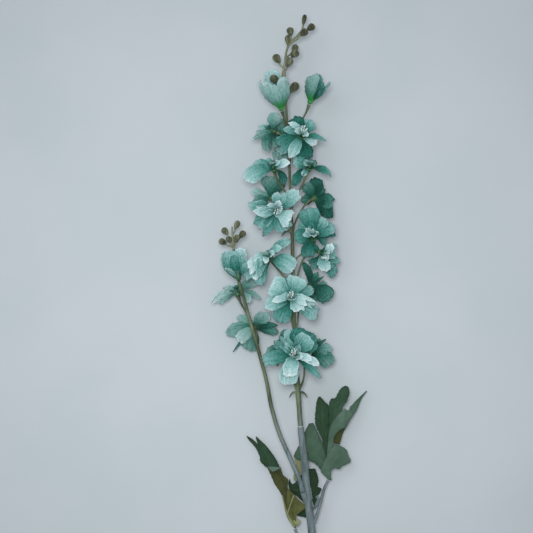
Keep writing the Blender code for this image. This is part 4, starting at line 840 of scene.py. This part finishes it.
    # past its claw the petal turns over by its roll
    rolled = add("ShaderNodeMapRange", {"Value": run, "From Max": drape["rolledBy"], "To Max": read["roll"]},
                 interpolation_type="SMOOTHSTEP")
    cosRoll, sinRoll = (add("ShaderNodeMath", (rolled,), way) for way in ("COSINE", "SINE"))
    lowered = add("ShaderNodeMath", (acrossBy, sinRoll), "MULTIPLY")
    acrossBy = add("ShaderNodeMath", (acrossBy, cosRoll), "MULTIPLY")
    acrossBy = add("ShaderNodeMath", (lift, sinRoll, acrossBy), "MULTIPLY_ADD")
    lift = add("ShaderNodeMath", (lift, cosRoll), "MULTIPLY")
    lift = add("ShaderNodeMath", (lift, lowered), "SUBTRACT")
    back = add("ShaderNodeMath", (lift, cosAngle), "MULTIPLY")
    reach = add("ShaderNodeMath", (reach, back), "SUBTRACT")
    height = add("ShaderNodeMath", (lift, sinAngle, height), "MULTIPLY_ADD")
    spot = add("ShaderNodeCombineXYZ", (acrossBy, reach, height))
    clockwise = add("ShaderNodeMath", (read["turn"], -1.0), "MULTIPLY")
    spot = add("ShaderNodeVectorRotate", {"Vector": spot, "Angle": clockwise}, rotation_type="Z_AXIS")
    bent = add("GeometryNodeSetPosition", {"Geometry": petals, "Position": spot})
    # stamens: a thin thread with a bead on its end
    form = stamenForm
    stalk = add("GeometryNodeMeshCone", {"Vertices": form["sides"], "Radius Top": form["tip"],
                                         "Radius Bottom": form["foot"], "Depth": form["tall"]})
    bead = add("GeometryNodeMeshUVSphere", {"Segments": form["beadSides"], "Rings": form["beadRings"],
                                            "Radius": form["bead"]})
    bead = add("GeometryNodeTransform", {"Geometry": bead.outputs["Mesh"], "Translation": form["beadAt"],
                                         "Scale": form["beadScale"]})
    oneStamen = add("GeometryNodeJoinGeometry", {0: [stalk.outputs["Mesh"], bead]})
    aim = add("GeometryNodeInputNamedAttribute", {"Name": "aim"}, data_type="FLOAT_VECTOR")
    lean = add("FunctionNodeAlignRotationToVector", {"Vector": aim}, axis="Z")
    stamens = add("GeometryNodeInstanceOnPoints", {"Points": sort.outputs["Selection"], "Instance": oneStamen,
                                                   "Rotation": lean, "Scale": read["width"]})
    stamens = add("GeometryNodeRealizeInstances", {"Geometry": stamens})
    solid = add("GeometryNodeJoinGeometry", {0: [split.outputs["Selection"], stamens]})
    # everything turns with the bloom and moves to its calyx, and what would sink into the floor bends up
    leanBy = add("FunctionNodeEulerToRotation", (inputs["Lean"],))
    settled = []
    for part in (bent, solid):
        moved = add("GeometryNodeTransform", {"Geometry": part, "Translation": inputs["Calyx"],
                                              "Rotation": leanBy, "Scale": (mm, mm, mm)})
        x, y, z = add("ShaderNodeSeparateXYZ", (add("GeometryNodeInputPosition"),)).outputs
        three = add("ShaderNodeMath", (inputs["Floor lift"], 3.0), "MULTIPLY")
        below = add("ShaderNodeMath", (inputs["Floor lift"], -4.0, z), "MULTIPLY_ADD")
        below = add("ShaderNodeMath", (below, three), "DIVIDE")
        below = add("ShaderNodeMath", (below, 0.0), "MINIMUM")
        easing = add("ShaderNodeMath", (below,), "EXPONENT")
        eased = add("ShaderNodeMath", (easing, three, inputs["Floor lift"]), "MULTIPLY_ADD")
        level = add("ShaderNodeMath", (eased, z), "MAXIMUM")
        laid = add("ShaderNodeCombineXYZ", (x, y, level))
        settled.append(add("GeometryNodeSetPosition", {"Geometry": moved, "Position": laid}))
    cloth = addThickCloth(add, settled[0], inputs["Cloth"])
    whole = add("GeometryNodeJoinGeometry", {0: [cloth, settled[1]]})
    dress(add, whole, inputs["Silk"], (isCarrier, inputs["Carrier"]), (isStamen, inputs["Thread"]))
    return tree


bloomTree = makeBloomTree()


def makeSilk(name, node, bloom, carrier, petals, stamens=(), nick=1.0, silk=petalSilk, cup=darkCup):
    # petals and stamens on a turned carrier, which are one piece that stands for one solid
    verts, faces = carrier
    columns = {label: [0.0] * len(verts) + [p[label] for p in petals] + [0.0] * len(stamens)
               for label in petals[0]}
    kind = [0.0] * len(verts) + [1.0] * len(petals) + [2.0] * len(stamens)
    aims = [(0, 0, 1)] * (len(verts) + len(petals)) + [s[1] for s in stamens]
    for k, (_, _, scale) in enumerate(stamens):
        columns["width"][len(verts) + len(petals) + k] = scale
    places = list(verts) + [(0, 0, 0)] * len(petals) + [s[0] for s in stamens]
    mesh = meshOf(name, places, faces=faces, kind=kind, aim=aims, **columns)
    lean = Matrix(frameOf(bloom["faces"])).transposed().to_euler()
    obj = grown(name, mesh, bloomTree, **silkSizes, Nick=nick, Calyx=[c * mm for c in bloom["calyx"]],
                Lean=list(lean), Silk=silk, Carrier=cup, Thread=thread)
    place(obj, node)


draw = random.Random(11)


def tipped(bloom, form, rows):  # petals that end at the tips in a table
    petals = []
    for px, py, height, width, dye, point in rows:
        x, y = (round(2 * way) / 2 for way in fromPhoto(px, py))  # to half a millimetre
        turn, opens, chord = aimAt(bloom, form, x, y, height)
        width = round(width * form["drawnIn"], 1)
        petals.append(petalPoint(form, turn, opens, chord, width, dye, point, draw.uniform(0, wholeTurn),
                                 rollOf(bloom, form, turn, opens)))
    return petals


# The ring of small petals in each open bloom, and its stamens, which stand clear in some and are half hidden
# in the others.
ring = dict(count=4, apart=72, sway=14, opens=30, ajar=12, chord=6.5, shortest=0.85, longest=1.15, width=5,
            point=0.2, paler=0.15, darker=0.2)
clearHeart = dict(long=1, wide=1, dye=0.35, tall=1.0)
hiddenHeart = dict(long=0.7, wide=0.8, dye=0.7, tall=0.4)
clearOnes = ("bloom_02", "bloom_05", "bloom_12", "bloom_13")
stamenRing = dict(count=6, lean=(8, 22), out=0.55, foot=6.6, size=(0.75, 1.0))
bellHeart = dict(count=3, apart=120, sway=8, opens=(3, 14), width=8, darker=0.25, point=0.2, nick=0.25)


def ringPetal(k, size, heart):
    turn = ring["apart"] * k + draw.uniform(-ring["sway"], ring["sway"])
    opens = ring["opens"] + draw.uniform(-ring["ajar"], ring["ajar"])
    chord = ring["chord"] * size * draw.uniform(ring["shortest"], ring["longest"]) * heart["long"]
    width = ring["width"] * size * heart["wide"]
    dye = heart["dye"] + draw.uniform(-ring["paler"], ring["darker"])
    return petalPoint(innerPetal, turn, opens, chord, width, dye, ring["point"], draw.uniform(0, wholeTurn))


def stamenAt(k, heart):  # where a stamen stands, where it points and how big it is
    angle = 2 * math.pi * (k + 0.5 * draw.random()) / stamenRing["count"]
    lean = math.radians(draw.uniform(*stamenRing["lean"]))
    foot = (stamenRing["out"] * math.cos(angle), stamenRing["out"] * math.sin(angle), stamenRing["foot"])
    aim = (math.cos(angle) * math.sin(lean), math.sin(angle) * math.sin(lean), math.cos(lean))
    return foot, aim, heart["tall"] * draw.uniform(*stamenRing["size"])


for name, bloom in {**blooms, **sideBlooms}.items():
    makeSilk(name + "_petals", name + "_outer", bloom, turned(*carriers["cup"]),
             tipped(bloom, outerPetal, bloom["petals"]), nick=bloom.get("nick", 1.0))
    heart = clearHeart if name in clearOnes else hiddenHeart
    inner = tipped(bloom, innerPetal, bloom["frills"])
    inner += [ringPetal(k, bloom["size"], heart) for k in range(ring["count"])]
    stamens = [stamenAt(k, heart) for k in range(stamenRing["count"])]
    makeSilk(name + "_heart", name + "_inner", bloom, turned(*carriers["heart"]), inner, stamens)
for name, bell in {**bells, **sideBells}.items():
    size = bell["size"]
    outer = tipped(bell, bellPetal, bell["petals"])
    for k in range(bellHeart["count"]):
        turn = bellHeart["apart"] * k + draw.uniform(-bellHeart["sway"], bellHeart["sway"])
        opens = draw.uniform(*bellHeart["opens"])
        outer.append(petalPoint(heartPetal, turn, opens, bell["heart"] * size, bellHeart["width"] * size,
                                bell["petals"][0][4] + bellHeart["darker"], bellHeart["point"],
                                draw.uniform(0, wholeTurn)))
    finish = dict(silk=bellSilk, cup=greenCup) if "top" in name else {}
    makeSilk(name + "_cup", name, bell, turned(*carriers["bell"]), outer, nick=bellHeart["nick"], **finish)
print("blooms made")


# Lobes: the photo's pixels along the left and the right edge, heights at the foot, the middle and the tip,
# how much higher each edge lies (tilt) and the middle between them (fold), and how much paler the lobe is
# coloured than elsewhere, which on the "fold" strip is painted highlight; "under" ones lie with the olive
# wrong side up.
leaves = {
    "leaf_right": {
        "pale left lobe": dict(
            heights=(11.6, 12.6, 13.2), tilt=(-0.8, 0.4), fold=0.6, shade=0.27,
            left=[(321, 470.5), (314, 463.5), (308, 461.5), (300, 461), (293.8, 457.5), (296.5, 450.5),
                  (300, 444), (303, 436.5), (306, 430), (309.3, 424)],
            right=[(327, 458), (326, 454), (324.8, 449.5), (323.5, 445.5), (321.8, 441), (320, 437),
                   (318, 432.5), (316, 428.5), (315, 426), (313.3, 423.2)]),
        "dark left": dict(
            heights=(12.4, 14.6, 15.4), tilt=(0, -0.9), fold=0.5, shade=0.07,
            left=[(326, 458.2), (323.5, 446.6), (321.2, 437.2), (317.3, 430), (314.8, 420.6),
                  (315.4, 411.9), (316.8, 401.1), (318.9, 396.8)],
            right=[(329.4, 456.7), (329.4, 445.1), (329.6, 433.6), (329.9, 424.9), (329.6, 416.2),
                   (328.9, 406.1), (325.2, 402.5), (320.3, 397)]),
        "dark tall": dict(
            heights=(12.6, 15, 14), tilt=(-0.9, 0.5), fold=0.5, shade=0.12,
            left=[(327.4, 456.7), (328.1, 442.3), (328.4, 430.7), (328.6, 419.1), (328.6, 406.1),
                  (331, 399.3), (335.6, 397.9), (339, 391), (342.9, 387.3), (346.2, 386.2)],
            right=[(330, 456.7), (333, 442.3), (336, 430.7), (339, 420.6), (342.5, 411.2), (343.4, 406.8),
                   (346.9, 402.5), (348.8, 397.5), (349.9, 392.4), (348.6, 387.1)]),
        "khaki strip": dict(
            heights=(9.5, 10.5, 9), tilt=(0.4, -0.8), fold=0, shade=0.06, under=True,
            left=[(333.9, 443.7), (334.3, 437.9), (339, 431.4), (342.3, 428.2), (346.2, 423.2),
                  (349.8, 417.4), (353.4, 412.4)],
            right=[(339.7, 445.4), (341.4, 440.8), (343.3, 433.6), (346.2, 428.5), (348.4, 424.6),
                   (351.5, 419.1), (355.6, 412.6)]),
        "pale right": dict(
            heights=(13.4, 16, 6), tilt=(-0.5, 0.3), fold=0.7, shade=0.34,
            left=[(326.7, 457.5), (327.8, 448), (328.6, 437.9), (329.3, 430.7), (331.7, 423.5),
                  (335.3, 417.7), (339.7, 413.4), (342.9, 410.2), (344.8, 408.6), (347.5, 410.6),
                  (349.8, 408.8), (350.6, 406.4), (352.7, 404.7), (357, 400.3), (360.6, 397.3),
                  (367.1, 391.5)],
            right=[(329.6, 450.9), (331, 448), (333.4, 445.1), (333.8, 439.4), (336.3, 434.3),
                   (340, 430.7), (342.8, 429.4), (344.2, 429), (345.4, 428.2), (347.9, 424.6),
                   (350.3, 420.4), (352.6, 417.4), (354.8, 414.6), (358.2, 408), (361.4, 400.5),
                   (367.6, 392)]),
        "pale lower right": dict(
            heights=(11.8, 13.6, 9.5), tilt=(0.3, -0.6), fold=0.7, shade=0.35,
            left=[(328.8, 480.5), (324.5, 476.2), (320.6, 470.7), (323.1, 464.7), (326.7, 456.7),
                  (329.3, 450.9), (332.5, 445.1), (336.8, 445.1), (342.3, 447), (346.9, 450.9)],
            right=[(331.7, 481), (331.4, 476.9), (331.4, 472.9), (332.2, 470), (336.1, 468.8),
                   (339, 469.7), (342.9, 466.8), (346.2, 465.1), (351, 462.5), (348.6, 456.7)]),
    },
    "leaf_left": {
        "folded underside": dict(
            heights=(6.8, 8, 9), tilt=(-1.8, 1.4), fold=-1.2, shade=0.05, under=True,
            left=[(265.8, 466.5), (269.5, 474), (273.9, 484.1), (278.9, 491.6), (282.1, 497.9),
                  (284, 506.7), (286.2, 516.1), (289.6, 523), (294.3, 529.3)],
            right=[(280.8, 468.5), (283.3, 476), (288.2, 480.5), (287.6, 487.5), (290.5, 494), (292, 503),
                   (292.5, 511), (294, 520), (296, 529.3)]),
        "lit underside": dict(
            heights=(9, 9.6, 9.6), tilt=(0, 1.8), fold=-1.4, shade=0.2, under=True,
            left=[(287.5, 489), (287, 494), (286.6, 500), (286.4, 507), (286.8, 514), (289.4, 520),
                  (293.6, 526)],
            right=[(289.6, 491.8), (294, 495.4), (300, 501.8), (306.6, 507.3), (300.8, 512.8),
                   (296.5, 516.7), (295.6, 526)]),
        "ridge": dict(
            heights=(10.6, 11, 10.6), tilt=(0, 0), fold=0.3, shade=0.6, under=True,
            left=[(293.4, 496), (290.6, 503.5), (288.2, 510), (286.8, 515)],
            right=[(294.6, 496.4), (291.8, 504), (289.4, 510.6), (288, 515.4)]),
        "long ridge": dict(
            heights=(10, 10.4, 10.2), tilt=(0, 0), fold=0.3, shade=0.52, under=True,
            left=[(281.8, 496.5), (284, 505.5), (286.2, 515), (289.8, 522.5), (294.2, 529)],
            right=[(282.8, 496), (285.2, 505), (288.2, 514.6), (292.4, 521.4), (296, 527.6)]),
        "curl": dict(
            heights=(10, 10.6, 10), tilt=(0.4, 0), fold=-0.5, shade=0.6, under=True,
            left=[(293, 521.5), (294.3, 524), (296, 527)],
            right=[(297.5, 519.5), (300.9, 522.5), (298.6, 526.6)]),
        "dark lobe": dict(
            heights=(8.4, 6, 1.6), tilt=(-0.6, 0.3), fold=0.7, shade=0.08,
            left=[(265.8, 467.8), (260.1, 462.3), (259.8, 457.7), (258.2, 453.9), (259.1, 449.5),
                  (257.6, 445.1), (256.3, 440.7), (256, 437.7)],
            right=[(280.4, 469), (278.3, 464), (275.8, 459.6), (272.9, 455.2), (269.5, 450.8),
                   (265.1, 445.8), (260.7, 442), (256.6, 438)]),
        "thin tip": dict(
            heights=(5, 2.6, 0.6), tilt=(0, 0), fold=0, shade=0.05,
            left=[(258.6, 454.4), (255.6, 449), (251.8, 444.5), (248.8, 441.2), (246.3, 437.4)],
            right=[(260.1, 450.8), (258.2, 446.4), (254.8, 442.2), (251.3, 439.6), (247, 437.4)]),
        # a pale strip on the lit folded edge: painted highlight
        "fold": dict(
            heights=(9.4, 9.8, 9.4), tilt=(0, 0), fold=0, shade=0.42,
            left=[(267.5, 467.3), (272.9, 467.4), (277.7, 467.8), (281, 468.6)],
            right=[(268.4, 468.7), (272.9, 472.4), (277.1, 470.4), (281, 469.3)]),
    },
    "leaf_back": {
        "right": dict(
            heights=(6.6, 7, 7.4), tilt=(0, -0.6), fold=0.3, shade=-0.02,
            left=[(309, 469.8), (309.3, 476), (310, 482), (310.8, 488), (311.3, 490), (311.8, 494),
                  (312.5, 498), (313, 500.5)],
            right=[(315.4, 469.6), (317.9, 476.5), (318.9, 482.8), (317.9, 488.3), (321.7, 489.1),
                   (321, 493), (317.7, 496.8), (313.8, 500.5)]),
        "left": dict(
            heights=(7, 6, 4.5), tilt=(0.6, -0.6), fold=0.3, shade=0,
            left=[(304, 473), (299.5, 477.5), (296.5, 482), (293, 485), (291, 483.5), (289.5, 480)],
            right=[(309, 507), (303.5, 503.5), (299.5, 499.5), (294, 495.2), (290.5, 493), (288.9, 485)]),
        "lower": dict(
            heights=(5.5, 4.5, 3.5), tilt=(0, 0), fold=0.2, shade=0.02,
            left=[(309, 505), (303.5, 511), (297.8, 516.3)],
            right=[(309, 520), (303.5, 518.5), (298, 517.4)]),
        "small": dict(
            heights=(7, 6.4, 6), tilt=(0, 0), fold=0.1, shade=0,
            left=[(312, 500), (313, 503.5), (314, 506.5)],
            right=[(318, 498.5), (316.5, 502.5), (314.8, 506.8)]),
        "khaki": dict(
            heights=(8.8, 8.8, 8.4), tilt=(0, 0), fold=0, shade=0.5, under=True,
            left=[(294.5, 459.5), (295.5, 463), (296.3, 468), (296.2, 472), (293.5, 476.5), (294, 481.5)],
            right=[(299.5, 457), (302.5, 461.5), (303, 466), (303, 471), (299, 477), (296, 481.5)]),
    },
}
leafSizes = {"Cloth": 0.32 * mm}
# How deep and how long a tooth is, from what width of a lobe on its teeth and folds are whole, how high the
# cloth ripples between ribs, and how much higher each lobe lies than the one before it.
leafForm = dict(step=1.3, halves=5, tooth=0.55, toothLength=2.9, leastHalf=4, broadFrom=8, ripple=0.28,
                spread=0.22, floorLift=0.45)


def aboveFloor(point):  # bends a point in metres that would sink into the floor gently back above it
    lift = leafForm["floorLift"] * mm
    if point.z < 4 * lift:
        point.z = lift + 3 * lift * math.exp((point.z - 4 * lift) / (3 * lift))
    return point


def edgeOf(lobe, edge, tilt):  # an edge of a lobe as points in millimetres
    foot, middle, tip = lobe["heights"]
    points = []
    for k, pixel in enumerate(edge):
        u = 2 * k / (len(edge) - 1)
        height = foot + (middle - foot) * u if u < 1 else middle + (tip - middle) * (u - 1)
        points.append([round(way, 1) for way in (*fromPhoto(*pixel), height + tilt)])
    return points


def lobeSheet(lobe, lift):  # one lobe's middle: (place, along, across, shade) of its points, and its faces
    form, halves = leafForm, leafForm["halves"]
    edges = [edgeOf(lobe, lobe[side], tilt) for side, tilt in zip(("left", "right"), lobe["tilt"])]
    rows = smoothRoute([(*left, *right) for left, right in zip(*edges)], form["step"])
    points, run, area = [], 0.0, 0.0
    for k, row in enumerate(rows):
        left, right = Vector(row[:3]), Vector(row[3:])
        width = right - left
        if k:
            step = (left + right - former) / 2
            run += step.length
            area += step.x * width.y - step.y * width.x
        former = left + right
        broad = min(1, width.length / form["broadFrom"])
        half = max(form["leastHalf"], width.length / 2)
        bite = form["tooth"] * ((run / form["toothLength"]) % 1) ** 2 / half
        for j in range(-halves, halves + 1):
            t = j / halves * (1 - bite * broad)
            between = 1 + math.sin(leafCloth["ribs"] * run + leafCloth["slant"] * abs(t))
            ripple = form["ripple"] * math.sin(math.pi * abs(t)) * between
            spot = left.lerp(right, (t + 1) / 2)
            spot.z += lift + (lobe["fold"] * (1 - abs(t)) + ripple) * broad
            points.append((aboveFloor(spot * mm), run, t, lobe["shade"]))
    wide = 2 * halves + 1
    faces = [(a * wide + b, a * wide + b + 1, (a + 1) * wide + b + 1, (a + 1) * wide + b)
             for a in range(len(rows) - 1) for b in range(wide - 1)]
    if (area > 0) != bool(lobe.get("under")):  # the right side goes up, or the wrong side of "under" ones
        faces = [face[::-1] for face in faces]
    return points, faces


def makeLeafTree():
    tree, add, inputs = newTree("leaf cloth", leafSizes, Material="Material")
    cloth = addThickCloth(add, inputs["Geometry"], inputs["Cloth"])
    dress(add, cloth, inputs["Material"])
    return tree


leafTree = makeLeafTree()
for name, lobes in leaves.items():
    points, faces = [], []
    for k, lobe in enumerate(lobes.values()):
        more, sheet = lobeSheet(lobe, leafForm["spread"] * k)
        faces += [tuple(i + len(points) for i in face) for face in sheet]
        points += more
    verts, along, across, shades = zip(*points)
    mesh = meshOf(name, verts, faces=faces, along=along, across=across, dye=shades)
    place(grown(name + "_cloth", mesh, leafTree, **leafSizes, Material=leafPrint), name)
print("leaves made")


# A matt floor, a soft room, and a camera that looks straight down on a field as wide as the photo, from a
# distance over the level of the blooms. The lamps stand at places in metres and shine at one spot.
floorLooks = dict(half=4, clouds=9.0, tint=((0.3, "#b4bfc3"), (0.7, "#bcc3c9")))
room = dict(colour="#eef2f5", strength=0.5)
lamps = {
    "overhead": ("SPOT", (-0.12, 0.3, 2.3), dict(energy=133, shadow_soft_size=0.3, spot_size=math.radians(28),
                                                 spot_blend=1.0)),
    "key": ("AREA", (-0.9, 1.0, 1.8), dict(energy=7, size=1.2)),
}
litSpot = Vector((-0.03, 0.1, 0))
view = dict(centre=(-18, 124), distance=2500, level=20, field=426.4, sensor=36, farthest=20)

half = floorLooks["half"]
floorMesh = meshOf("floor", [(-half, -half, 0), (half, -half, 0), (half, half, 0), (-half, half, 0)],
                   faces=[(0, 1, 2, 3)])
floor = bpy.data.objects.new("floor", floorMesh)
bpy.context.scene.collection.objects.link(floor)
floorPaint, add = newMaterial("mattFloorPaint", Roughness=0.9)
spot = add("ShaderNodeTexCoord").outputs["Object"]
cloud = add("ShaderNodeTexNoise", {"Vector": spot, "Scale": floorLooks["clouds"], "Detail": 3.0})
tint = add("ShaderNodeValToRGB", (cloud.outputs["Fac"],), stops=floorLooks["tint"])
floorMesh.materials.append(finished(floorPaint, tint.outputs[0]))

world = bpy.data.worlds.new("soft room")
world.use_nodes = True
background = world.node_tree.nodes["Background"]
background.inputs["Color"].default_value = fromHex(room["colour"])
background.inputs["Strength"].default_value = room["strength"]
bpy.context.scene.world = world
for name, (kind, spot, looks) in lamps.items():
    light = bpy.data.lights.new(name, kind)
    for label, value in looks.items():
        setattr(light, label, value)
    lamp = bpy.data.objects.new(name, light)
    lamp.location = spot
    lamp.rotation_euler = (Vector(spot) - litSpot).to_track_quat("Z", "Y").to_euler()
    bpy.context.scene.collection.objects.link(lamp)

lens = bpy.data.cameras.new("camera")
lens.sensor_width = view["sensor"]
lens.lens = view["sensor"] * view["distance"] / view["field"]
lens.clip_end = view["farthest"]
camera = bpy.data.objects.new("camera", lens)
camera.location = Vector((*view["centre"], view["distance"] + view["level"])) * mm
bpy.context.scene.collection.objects.link(camera)
bpy.context.scene.camera = camera
bpy.context.scene.view_settings.view_transform = "Standard"
print("studio made")
